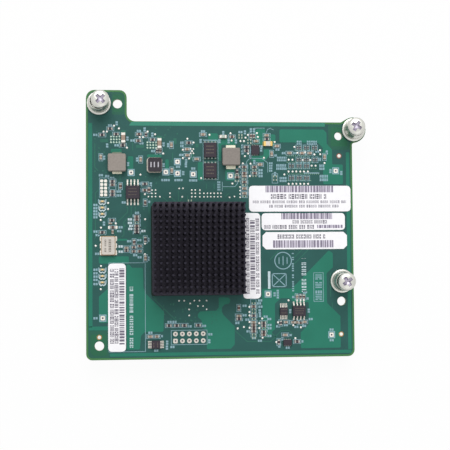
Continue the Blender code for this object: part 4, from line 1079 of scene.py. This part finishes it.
def make_screw(label, spin):
    space = screw_space(label)
    top = HEAD_LOW + HEAD_HEIGHT
    shoulder = POCKET_FLOOR - THROAT_DEPTH - 0.3
    tip = shoulder - 2.5
    neck = SLEEVE_HEIGHT - NECK_DROP
    profile = [(0.05, top)] + [(across * HEAD_RADIUS, top - down * HEAD_HEIGHT) for across, down in DOME]
    profile += [(HEAD_RADIUS, HEAD_LOW + 0.12), (HEAD_RADIUS - 0.12, HEAD_LOW), (2.3, HEAD_LOW),
                (2.2, HEAD_LOW - 0.1), (2.2, neck + 0.1), (2.1, neck), (1.05, neck), (1.0, neck - 0.1),
                (1.0, shoulder), (1.4, shoulder)]
    level = shoulder - 0.05
    while level - THREAD_PITCH > tip + 0.1:
        profile += [(1.5, level - 0.05), (1.5, level - 0.12), (1.28, level - 0.3), (1.28, level - 0.36)]
        level -= THREAD_PITCH
    profile += [(1.4, tip + 0.15), (1.15, tip), (0.05, tip)]
    screw = Build(label + "_screw_turned", space)
    screw.turned(0.0, 0.0, profile, NICKEL, TURN_STEPS)
    item = screw.finish("nickel", label + "_screw", smooth=TURNED_ANGLE, stands_for=(label + "_screw",))
    cut_recess(item, space, top, spin)


# Labels and other print

LABEL_TOP = node_box("upper_label")[5]
LABEL_PRINT_LOW = LABEL_TOP - 0.02
LABEL_PRINT_TOP = LABEL_TOP + 0.012
# Plain marks as shares of a letter's width and height; none of them is a letter
MARKS = (
    ((0.0, 0.0, 0.34, 1.0), (0.66, 0.0, 1.0, 1.0)),
    ((0.0, 0.0, 0.34, 1.0), (0.6, 0.0, 1.0, 0.4), (0.6, 0.6, 1.0, 1.0)),
    ((0.0, 0.0, 1.0, 0.27), (0.0, 0.37, 1.0, 0.63), (0.0, 0.73, 1.0, 1.0)),
    ((0.0, 0.0, 0.4, 0.4), (0.0, 0.6, 0.4, 1.0), (0.66, 0.0, 1.0, 1.0)),
)
# Fields of bars across, and down the columns, each with its seed
BARS_ACROSS = [(66.0, 60.95, 91.4, 63.35, 3), (71.8, 50.95, 91.0, 53.2, 8), (85.2, 47.6, 94.8, 48.8, 10),
               (68.6, 40.4, 91.4, 43.1, 12)]
BARS_DOWN = [(60.1, 25.0, 61.85, 50.6, 13), (12.0, 5.6, 13.85, 33.2, 16)]
# Rows and columns of marks: a box, the marks' width, the gap and for rows the ink
LABEL_ROWS = [
    (68.0, 58.5, 88.7, 60.3, 0.95, 0.3, INK), (61.2, 56.9, 96.2, 57.9, 0.6, 0.22, PALE_INK),
    (67.3, 55.3, 93.5, 56.3, 0.6, 0.22, PALE_INK), (76.0, 49.3, 89.6, 50.6, 0.66, 0.22, INK),
    (65.4, 47.4, 84.0, 48.8, 0.72, 0.24, INK), (70.3, 43.7, 88.5, 45.3, 0.85, 0.26, INK),
]
LABEL_COLUMNS = [
    (58.6, 23.5, 59.75, 51.5, 0.72, 0.24), (62.15, 23.5, 63.4, 51.5, 0.76, 0.26),
    (8.6, 6.0, 10.05, 33.0, 0.8, 0.18), (10.25, 6.0, 11.65, 33.0, 0.8, 0.18),
]


def bars(build, x0, y0, x1, y1, seed, upright=True):
    """Plain bars of several widths across a field."""
    draw = random.Random(seed)
    here, stop = (x0, x1) if upright else (y0, y1)
    if upright:
        build.block(x0, y0, x1, y1, LABEL_PRINT_LOW, LABEL_TOP + 0.006, INK_GROUND)
    while here < stop:
        end = min(stop, here + draw.choice((0.3, 0.3, 0.55, 0.8)))
        bar, paint = ((here, y0, end, y1), BAR_INK) if upright else ((x0, here, x1, end), PALE_INK)
        build.block(*bar, LABEL_PRINT_LOW, LABEL_PRINT_TOP, paint)
        here = end + draw.choice((0.22, 0.28, 0.34, 0.5))


def blocks(build, box, seed, low, high, paint, letter, gap, upright=False, word=6, marked=False):
    """A row, or an upright column, of plain marks grouped as words are."""
    draw = random.Random(seed)
    x0, y0, x1, y1 = box
    here, stop, left, right = (y0, y1, x0, x1) if upright else (x0, x1, y0, y1)
    left_in_word = draw.randint(2, word)
    while here < stop - 0.1:
        wide = min(stop, here + letter * draw.uniform(0.75, 1.1)) - here
        for u0, v0, u1, v1 in draw.choice(MARKS) if marked else ((0.0, 0.0, 1.0, 1.0),):
            a, b = here + u0 * wide, here + u1 * wide
            c, d = left + v0 * (right - left), left + v1 * (right - left)
            mark = (c, a, d, b) if upright else (a, c, b, d)
            build.block(*mark, low, high, paint)
        left_in_word -= 1
        here += wide + gap
        if left_in_word <= 0:
            here += 2.2 * gap
            left_in_word = draw.randint(2, word)


def make_label_print():
    ink = Build("label_print")
    for seed, (*box, letter, gap, paint) in enumerate(LABEL_ROWS):
        blocks(ink, box, seed, LABEL_PRINT_LOW, LABEL_PRINT_TOP, paint, letter, gap, marked=True)
    for row in BARS_ACROSS:
        bars(ink, *row)
    for row in BARS_DOWN:
        bars(ink, *row, upright=False)
    for seed, (*box, letter, gap) in enumerate(LABEL_COLUMNS, start=30):
        blocks(ink, box, seed, LABEL_PRINT_LOW, LABEL_PRINT_TOP, INK, letter, gap, upright=True, marked=True)
    ink.finish(slot="paper")


PRINT_BLOCKS = [
    (70.4, 72.4, 74.0, 74.4), (70.1, 69.2, 74.0, 71.6), (71.3, 64.7, 74.0, 66.8), (77.9, 78.5, 79.7, 80.4),
    (81.7, 78.5, 85.5, 80.4), (86.3, 69.2, 88.4, 71.5), (86.4, 65.0, 89.5, 67.6), (86.0, 72.5, 87.0, 74.0),
    (67.4, 68.5, 68.8, 72.3), (48.1, 61.5, 49.2, 65.2), (34.5, 77.5, 35.8, 79.9),
]
# Pairs of dashes side by side, and one above the other
DASHES_ACROSS = [
    (3.4, 82.1), (8.8, 85.6), (11.1, 78.3), (16.9, 80.1), (19.3, 83.6), (20.2, 79.1), (24.5, 76.2),
    (5.4, 67.3), (7.7, 67.0), (9.5, 66.3), (42.9, 83.6), (56.8, 83.4), (34.8, 74.8), (33.6, 70.4),
    (39.2, 69.8), (64.3, 78.1), (64.2, 68.1), (64.2, 69.2), (64.2, 67.0), (70.6, 76.9), (69.6, 74.7),
    (73.0, 75.6), (77.2, 75.6), (85.6, 76.2), (3.4, 15.2), (57.8, 19.1), (57.8, 15.6), (55.1, 12.8),
    (58.8, 14.0), (59.2, 9.7), (61.2, 7.2), (63.4, 6.2), (63.6, 21.0), (63.2, 19.9), (63.7, 18.7),
    (65.6, 15.0), (66.9, 14.1), (67.0, 11.9), (67.0, 10.7), (66.9, 7.9), (45.1, 8.8), (42.8, 11.9),
    (37.5, 11.8), (30.2, 13.5), (32.0, 13.5), (23.2, 9.7), (27.0, 8.4), (31.2, 4.4), (25.3, 3.2),
    (76.3, 22.1), (78.8, 23.1), (81.0, 21.5), (80.4, 23.9), (82.4, 13.9), (70.2, 11.4), (73.1, 11.8),
    (77.0, 11.1), (79.9, 11.4), (74.5, 8.1), (73.7, 3.5), (78.8, 5.7), (90.2, 9.9), (90.2, 6.0),
    (15.9, 51.1), (15.9, 49.8), (16.4, 48.7), (16.0, 47.6), (20.8, 46.8), (18.5, 53.5), (12.0, 61.3),
    (12.1, 59.9), (13.7, 57.3), (20.1, 64.2), (22.6, 57.5), (15.6, 43.1), (19.3, 43.5), (12.5, 41.2),
    (12.5, 39.3), (17.8, 38.0), (19.4, 37.2), (12.5, 48.2), (12.0, 46.8), (3.4, 46.7), (4.2, 45.4),
    (4.0, 38.6), (28.2, 65.5), (29.8, 65.5), (33.0, 65.5), (34.5, 65.5), (38.4, 65.4), (39.9, 65.4),
]
DASHES_ACROSS += [(3.4, y) for y in (56.4, 55.2, 54.1, 53.0, 51.9, 32.8, 31.5, 30.3, 29.1, 27.6)]
DASHES_UP = [
    (11.2, 86.4), (7.7, 78.2), (21.4, 84.2), (24.2, 82.3), (28.3, 78.7), (15.1, 80.8), (6.6, 73.7),
    (18.6, 73.1), (15.3, 71.4), (28.3, 71.0), (30.0, 78.4), (42.0, 80.0), (49.0, 80.0), (50.4, 83.0),
    (58.5, 83.3), (60.7, 84.1), (61.9, 84.1), (36.6, 72.6), (36.5, 71.0), (35.5, 68.1), (52.4, 79.9),
    (55.1, 79.9), (57.5, 78.0), (57.5, 75.8), (60.4, 74.2), (61.9, 72.3), (64.5, 76.9), (89.2, 75.9),
    (90.5, 68.9), (94.6, 68.2), (69.6, 67.8), (63.4, 17.0), (63.5, 15.6), (44.7, 6.3), (29.3, 6.0),
    (29.2, 4.2), (74.8, 16.9), (81.7, 17.0), (71.8, 6.9), (70.6, 4.3), (69.0, 23.2), (70.2, 24.1),
    (70.2, 22.4), (20.2, 61.8), (23.6, 63.9), (22.6, 43.6), (22.6, 36.7), (18.0, 42.7), (6.5, 49.6),
]
WHITE_DASHES = [
    (15.9, 51.1), (15.9, 49.8), (16.4, 48.7), (16.0, 47.6), (12.5, 41.2), (12.5, 39.3), (20.8, 46.8),
]
PRINT_LINES = [
    [(58.9, 70.2), (59.0, 72.4), (60.5, 74.0), (60.6, 77.9)], [(49.9, 61.4), (49.9, 64.9)],
    [(49.9, 63.1), (54.6, 63.1), (55.6, 64.3), (55.6, 64.9)],
    [(61.0, 73.6), (64.7, 73.6), (66.9, 72.0), (66.9, 68.4)], [(61.9, 84.9), (65.9, 84.9)],
    [(66.5, 83.2), (66.9, 84.4), (68.0, 84.9), (69.2, 84.2)], [(80.4, 68.3), (86.3, 68.3)],
    [(80.4, 68.05), (86.3, 68.05)],
]
# Plain shapes where the photo has two signs: a square with its diagonals, and three bars for a ring
SIGN_LINES = [
    [(68.2, 26.0), (68.2, 30.8)], [(73.4, 26.0), (73.4, 30.8)], [(68.2, 26.0), (73.4, 26.0)],
    [(68.2, 30.8), (73.4, 30.8)], [(68.2, 26.0), (73.4, 30.8)], [(73.4, 26.0), (68.2, 30.8)],
    [(70.8, 34.4), (70.8, 36.8)], [(72.3, 33.9), (72.3, 37.3)], [(73.8, 34.4), (73.8, 36.8)],
]
RING_CENTRE = (72.3, 35.6)
RING_RADIUS = 3.1
PRINT_FRAMES = [
    (57.2, 59.0, 59.2, 71.5), (60.1, 7.6, 62.1, 21.5), (17.3, 45.8, 19.6, 52.9), (8.5, 59.5, 10.8, 66.0),
    (4.9, 59.2, 8.2, 66.3), (30.8, 5.2, 43.9, 10.4), (8.2, 2.9, 21.4, 35.2), (83.7, 20.4, 87.3, 31.0),
    (42.9, 79.6, 48.2, 80.4), (54.6, 64.9, 56.2, 69.6), (42.9, 65.7, 48.4, 73.0), (42.9, 73.0, 48.4, 80.2),
    (68.5, 64.4, 70.6, 67.9),
]
# Columns of marks on the board: box, seed, paint, the marks' width, the gap and whether they are divided
PRINT_COLUMNS = [
    ((15.7, 4.4, 17.0, 26.5), 21, PRINT_WHITE, 0.95, 0.35, True),
    ((79.2, 24.0, 80.9, 36.4), 23, PRINT_WHITE, 0.95, 0.45, True),
    ((75.6, 24.2, 76.3, 38.4), 24, PRINT_SOFT, 0.5, 0.35, False),
    ((84.3, 20.9, 86.8, 30.4), 22, PRINT_SOFT, 1.1, 0.3, True),
]
# The printed arrow over a lamp, as steps from the lamp's middle
LAMP_ARROW = [
    (-1.25, -0.35), (-1.0, -0.8), (-0.5, -1.2), (0.0, -0.85), (0.5, -1.2), (1.0, -0.8), (1.25, -0.35),
]
ROW_PITCH = 1.05


def make_print():
    ink = Build("board_print")
    for number in range(1, 7):
        x0, y0, x1, y1, _, _ = node_box(f"indicator_{number}")
        cx, cy = (x0 + x1) / 2, (y0 + y1) / 2
        ink.line([(cx + dx, cy + dy) for dx, dy in LAMP_ARROW], 0.4, PRINT_LOW, PRINT_TOP, PRINT_WHITE)
        for x in (cx - 1.3, cx + 1.3):
            ink.block(x - 0.2, cy - 0.4, x + 0.2, cy + 0.8, PRINT_LOW, PRINT_TOP, PRINT_SOFT)
    for places, (u, v), (dx, dy) in ((DASHES_ACROSS, (0.42, 0.0), (0.34, 0.42)),
                                     (DASHES_UP, (0.0, 0.42), (0.42, 0.34))):
        for x, y in places:
            paint = PRINT_WHITE if near((x, y), WHITE_DASHES) else PRINT_SOFT
            for cx, cy in ((x - u, y - v), (x + u, y + v)):
                ink.block(*about(cx, cy, dx, dy), PRINT_LOW, PRINT_TOP, paint)
    for x0, y0, x1, y1 in PRINT_BLOCKS:
        rows = max(1, round((y1 - y0) / ROW_PITCH))
        height = (y1 - y0) / rows
        for row in range(rows):
            box = (x0, y0 + row * height + 0.12, x1, y0 + (row + 1) * height - 0.12)
            blocks(ink, box, row + int(x0 * 10), PRINT_LOW, PRINT_TOP, PRINT_SOFT, 0.55, 0.16, word=99)
    for box in PRINT_FRAMES:
        ink.line(rectangle(*box), 0.18, PRINT_LOW, PRINT_TOP, PRINT_SOFT, closed=True)
    for x, y in TEST_POINTS:
        box = about(x, y, 1.1, 1.1)
        ink.line(rectangle(*box), 0.38, PRINT_LOW, PRINT_TOP - 0.01, PRINT_SOFT, closed=True)
    for lines, width in ((PRINT_LINES, 0.19), (SIGN_LINES, 0.3)):
        for line in lines:
            ink.line(line, width, PRINT_LOW, PRINT_TOP, PRINT_SOFT)
    ink.block(66.6, 25.2, 67.5, 31.7, PRINT_LOW, PRINT_TOP, PRINT_WHITE)
    x, y = RING_CENTRE
    turns = [2 * math.pi * step / 40 for step in range(40)]
    circle = [(x + RING_RADIUS * math.cos(a), y + RING_RADIUS * math.sin(a)) for a in turns]
    ink.line(circle, 0.34, PRINT_LOW, PRINT_TOP, PRINT_SOFT, closed=True)
    for box, seed, paint, letter, gap, marked in PRINT_COLUMNS:
        blocks(ink, box, seed, PRINT_LOW, PRINT_TOP, paint, letter, gap, upright=True, marked=marked)
    ink.finish(slot="board")


# The side towards the host

UNDER_POURS = [
    [(3.0, 14.0), (23.0, 14.0), (23.0, 60.0), (17.0, 66.0), (17.0, 84.0), (3.0, 84.0)],
    [(20.0, 68.0), (24.0, 64.0), (60.0, 64.0), (60.0, 84.0), (20.0, 84.0)],
    [(64.0, 12.0), (88.0, 12.0), (88.0, 34.0), (84.0, 38.0), (64.0, 38.0)],
    [(26.0, 12.5), (61.0, 12.5), (61.0, 22.0), (26.0, 22.0)],
    [(63.0, 66.5), (90.0, 66.5), (90.0, 78.0), (84.0, 84.0), (63.0, 84.0)],
]
UNDER_DOT = [(0.3, 0.0), (0.3, 0.05), (0.2, 0.09)]
UNDER_CHIP_HEIGHT = 0.7
CONTACT_PITCH = 1.27
# Chips' places, with 1 for those that lie along Y
UNDER_CHIPS = [(29.0 + 4.6 * column, 28.0 + 4.6 * row, (column + row) % 2)
               for column in range(6) for row in range(6)]
UNDER_CHIPS += [(64.8 + 2.5 * number, y, 0) for number in range(12) for y in (64.6, 40.6)]
UNDER_CHIPS += [(7.0 + 3.2 * number, 37.0, 1) for number in range(5)]
UNDER_CHIPS += [(66.0 + 3.6 * number, 18.0, 1) for number in range(6)]


def make_underside():
    """Pours, vias, rim, decoupling parts and the connector's solder tails, all guessed."""
    under = TO_CARD @ Matrix.Translation((0.0, 0.0, -BOARD_THICK)) @ Matrix.Diagonal((1.0, 1.0, -1.0, 1.0))
    layers = Build("underside_layers", under)
    for points in UNDER_POURS:
        layers.prism(rounded(points, 1.0), FIELD_LOW, MASK_TOP, MASK_COPPER)
    add_rim(layers)
    x0, y0, x1, y1, _, _ = node_box("connector_housing")
    for x, y in DOTS + FINE_DOTS:
        if not (x0 < x < x1 and y0 < y < y1):
            layers.turned(x, y, UNDER_DOT, SOLDER, 10)
    tails = int((x1 - x0 - 1.2) / CONTACT_PITCH)
    for edge, side in ((y0, -1), (y1, 1)):
        a, b = sorted((edge - side * 0.1, edge + side * 0.9))
        for number in range(tails):
            x = (x0 + x1) / 2 + (number - (tails - 1) / 2) * CONTACT_PITCH
            layers.block(x - 0.25, a, x + 0.25, b, 0.0, 0.18, SOLDER, draft=0.03)
    layers.finish(slot="board")
    parts = Build("underside_chips", under)
    choose = random.Random(17)
    for x, y, upright in UNDER_CHIPS:
        box = about(x, y, 0.4, 0.8) if upright else about(x, y, 0.8, 0.4)
        body = choose.choice((CHIP_TAN, CHIP_GREY, CHIP_BLACK))
        add_chip(parts, (*box, 0.0, UNDER_CHIP_HEIGHT), body, END_TIN)
    parts.finish(slot="capacitor")


# Floor, light and camera

WHITE = (1.0, 1.0, 1.0, 1.0)
FLOOR_GREY = (0.86, 0.86, 0.86, 1.0)
FLOOR_SIZE = 3.0
FLOOR_DROP = 0.2
FLOOR_GLOW = 0.95
WALL_LIGHT = 0.04
CEILING_LIGHT = 0.78


def sees_backdrop(tree):
    """1 for the camera's, glossy and transmission rays, which see the plain backdrop, and 0 for its light."""
    rays = shade(tree, "LightPath", {}).outputs
    level = rays["Is Camera Ray"]
    for other in ("Is Glossy Ray", "Is Transmission Ray"):
        level = shade(tree, "Math", {0: level, 1: rays[other]}, operation="MAXIMUM").outputs["Value"]
    return level


def mixed(tree, share, first, second, output):
    """Joins two shaders by a share into the tree's output."""
    mix = shade(tree, "MixShader", {"Fac": share, 1: first, 2: second})
    feed(tree, tree.nodes[output], {"Surface": mix.outputs["Shader"]})


def make_floor():
    grid = bmesh.new()
    bmesh.ops.create_grid(grid, x_segments=2, y_segments=2, size=FLOOR_SIZE)
    mesh = bpy.data.meshes.new("studio_floor")
    grid.to_mesh(mesh)
    grid.free()
    floor = add_item("studio_floor", mesh)
    floor.location = (0.0, 0.0, cad_low.z - FLOOR_DROP * MM)
    material = bpy.data.materials.new("studio_white")
    material.use_nodes = True
    tree = material.node_tree
    shader = tree.nodes["Principled BSDF"]
    feed(tree, shader, {"Base Color": FLOOR_GREY, "Roughness": 0.9})
    glow = shade(tree, "Emission", {"Color": WHITE})
    share = shade(tree, "Math", {0: sees_backdrop(tree), 1: FLOOR_GLOW}, operation="MULTIPLY")
    mixed(tree, share.outputs["Value"], shader.outputs["BSDF"], glow.outputs["Emission"], "Material Output")
    mesh.materials.append(material)


def make_world():
    """Studio walls that darken towards the floor; behind the object the camera sees plain white."""
    world = bpy.data.worlds.new("studio")
    bpy.context.scene.world = world
    world.use_nodes = True
    tree = world.node_tree
    place = shade(tree, "TexCoord", {})
    split = shade(tree, "SeparateXYZ", {"Vector": place.outputs["Generated"]})
    reach = {"To Min": WALL_LIGHT, "To Max": CEILING_LIGHT}
    level = shade(tree, "MapRange", {"Value": split.outputs["Z"], **reach})
    walls = tree.nodes["Background"]
    feed(tree, walls, {"Color": WHITE, "Strength": level.outputs["Result"]})
    shown = shade(tree, "Background", {"Color": WHITE})
    mixed(tree, sees_backdrop(tree), walls.outputs["Background"], shown.outputs["Background"], "World Output")


def add_light(name, place, aim, size, power):
    lamp = bpy.data.lights.new(name, "AREA")
    lamp.shape = "DISK"
    lamp.size = size
    lamp.energy = power
    item = add_item(name, lamp)
    item.location = place
    item.rotation_mode = "QUATERNION"
    item.rotation_quaternion = (Vector(aim) - Vector(place)).to_track_quat("-Z", "Y")


def make_camera():
    """Camera at the photograph's place: its three directions come from the fit to the board's outline."""
    camera = bpy.data.cameras.new("photo_camera")
    camera.lens = 72.0
    camera.sensor_width = 36.0
    camera.clip_start = 0.01
    camera.clip_end = 10.0
    item = add_item("photo_camera", camera)
    right = Vector((0.99631, -0.00748, 0.08545))
    upward = Vector((0.00397, 0.99915, 0.04113))
    back = Vector((-0.08569, -0.04064, 0.99549))
    centre = TO_CARD @ Vector((22.35, 35.40, 330.67))
    turn = Matrix((right, upward, back)).transposed().to_4x4()
    item.matrix_world = Matrix.Translation(centre) @ turn
    bpy.context.scene.camera = item


# The whole card and its studio

dress(MASK_DARK, "circuit_board")
dress(PAD_GREY, "thermal_pad")
dress(MOULDED, "package_lid", "supply_controller", "reset_chip")
dress(GLOSS_BLACK, "choke_core")
# The substrate's near-black is painted shade under the heat sink's edge.
dress(SUBSTRATE_PAINTED_SHADE, "package_substrate")
dress(CERAMIC_LIGHT, "choke_base", "oscillator_base")
dress(LID_METAL, "oscillator_lid")
dress(POWDER, "left_inductor_core")
dress(POWDER_DARK, "middle_inductor_core")
dress(TERMINAL, "left_inductor_terminal_south", "middle_inductor_terminal_north",
      "middle_inductor_terminal_south")
# The left inductor's north terminal is painted in shade.
dress(TERMINAL_PAINTED_SHADE, "left_inductor_terminal_north")
dress(PAPER, "left_label", "side_label", "upper_label", "middle_label", "lower_label")
dress(CONNECTOR_BLACK, "connector_housing")
dress(CONTACT_GOLD, *(f"contact_row_{number}" for number in range(1, 7)))

make_surface_layers()
make_solder()
make_chips()
make_named_chips()
make_packages()
make_package_trim()
make_heat_sink()
for label, spin in (("tab", 45.0), ("ear", 60.0), ("edge", 35.0)):
    make_ferrule(label)
    make_spring(label)
    make_screw(label, spin)
make_label_print()
make_print()
make_underside()

make_floor()
make_world()
add_light("key", (-0.05, 0.70, 0.80), (0.0, 0.0, 0.0), 0.8, 7.6)
add_light("fill", (0.30, -0.65, 0.70), (0.0, 0.0, 0.0), 0.8, 0.8)
make_camera()
bpy.context.scene.view_settings.view_transform = "Standard"
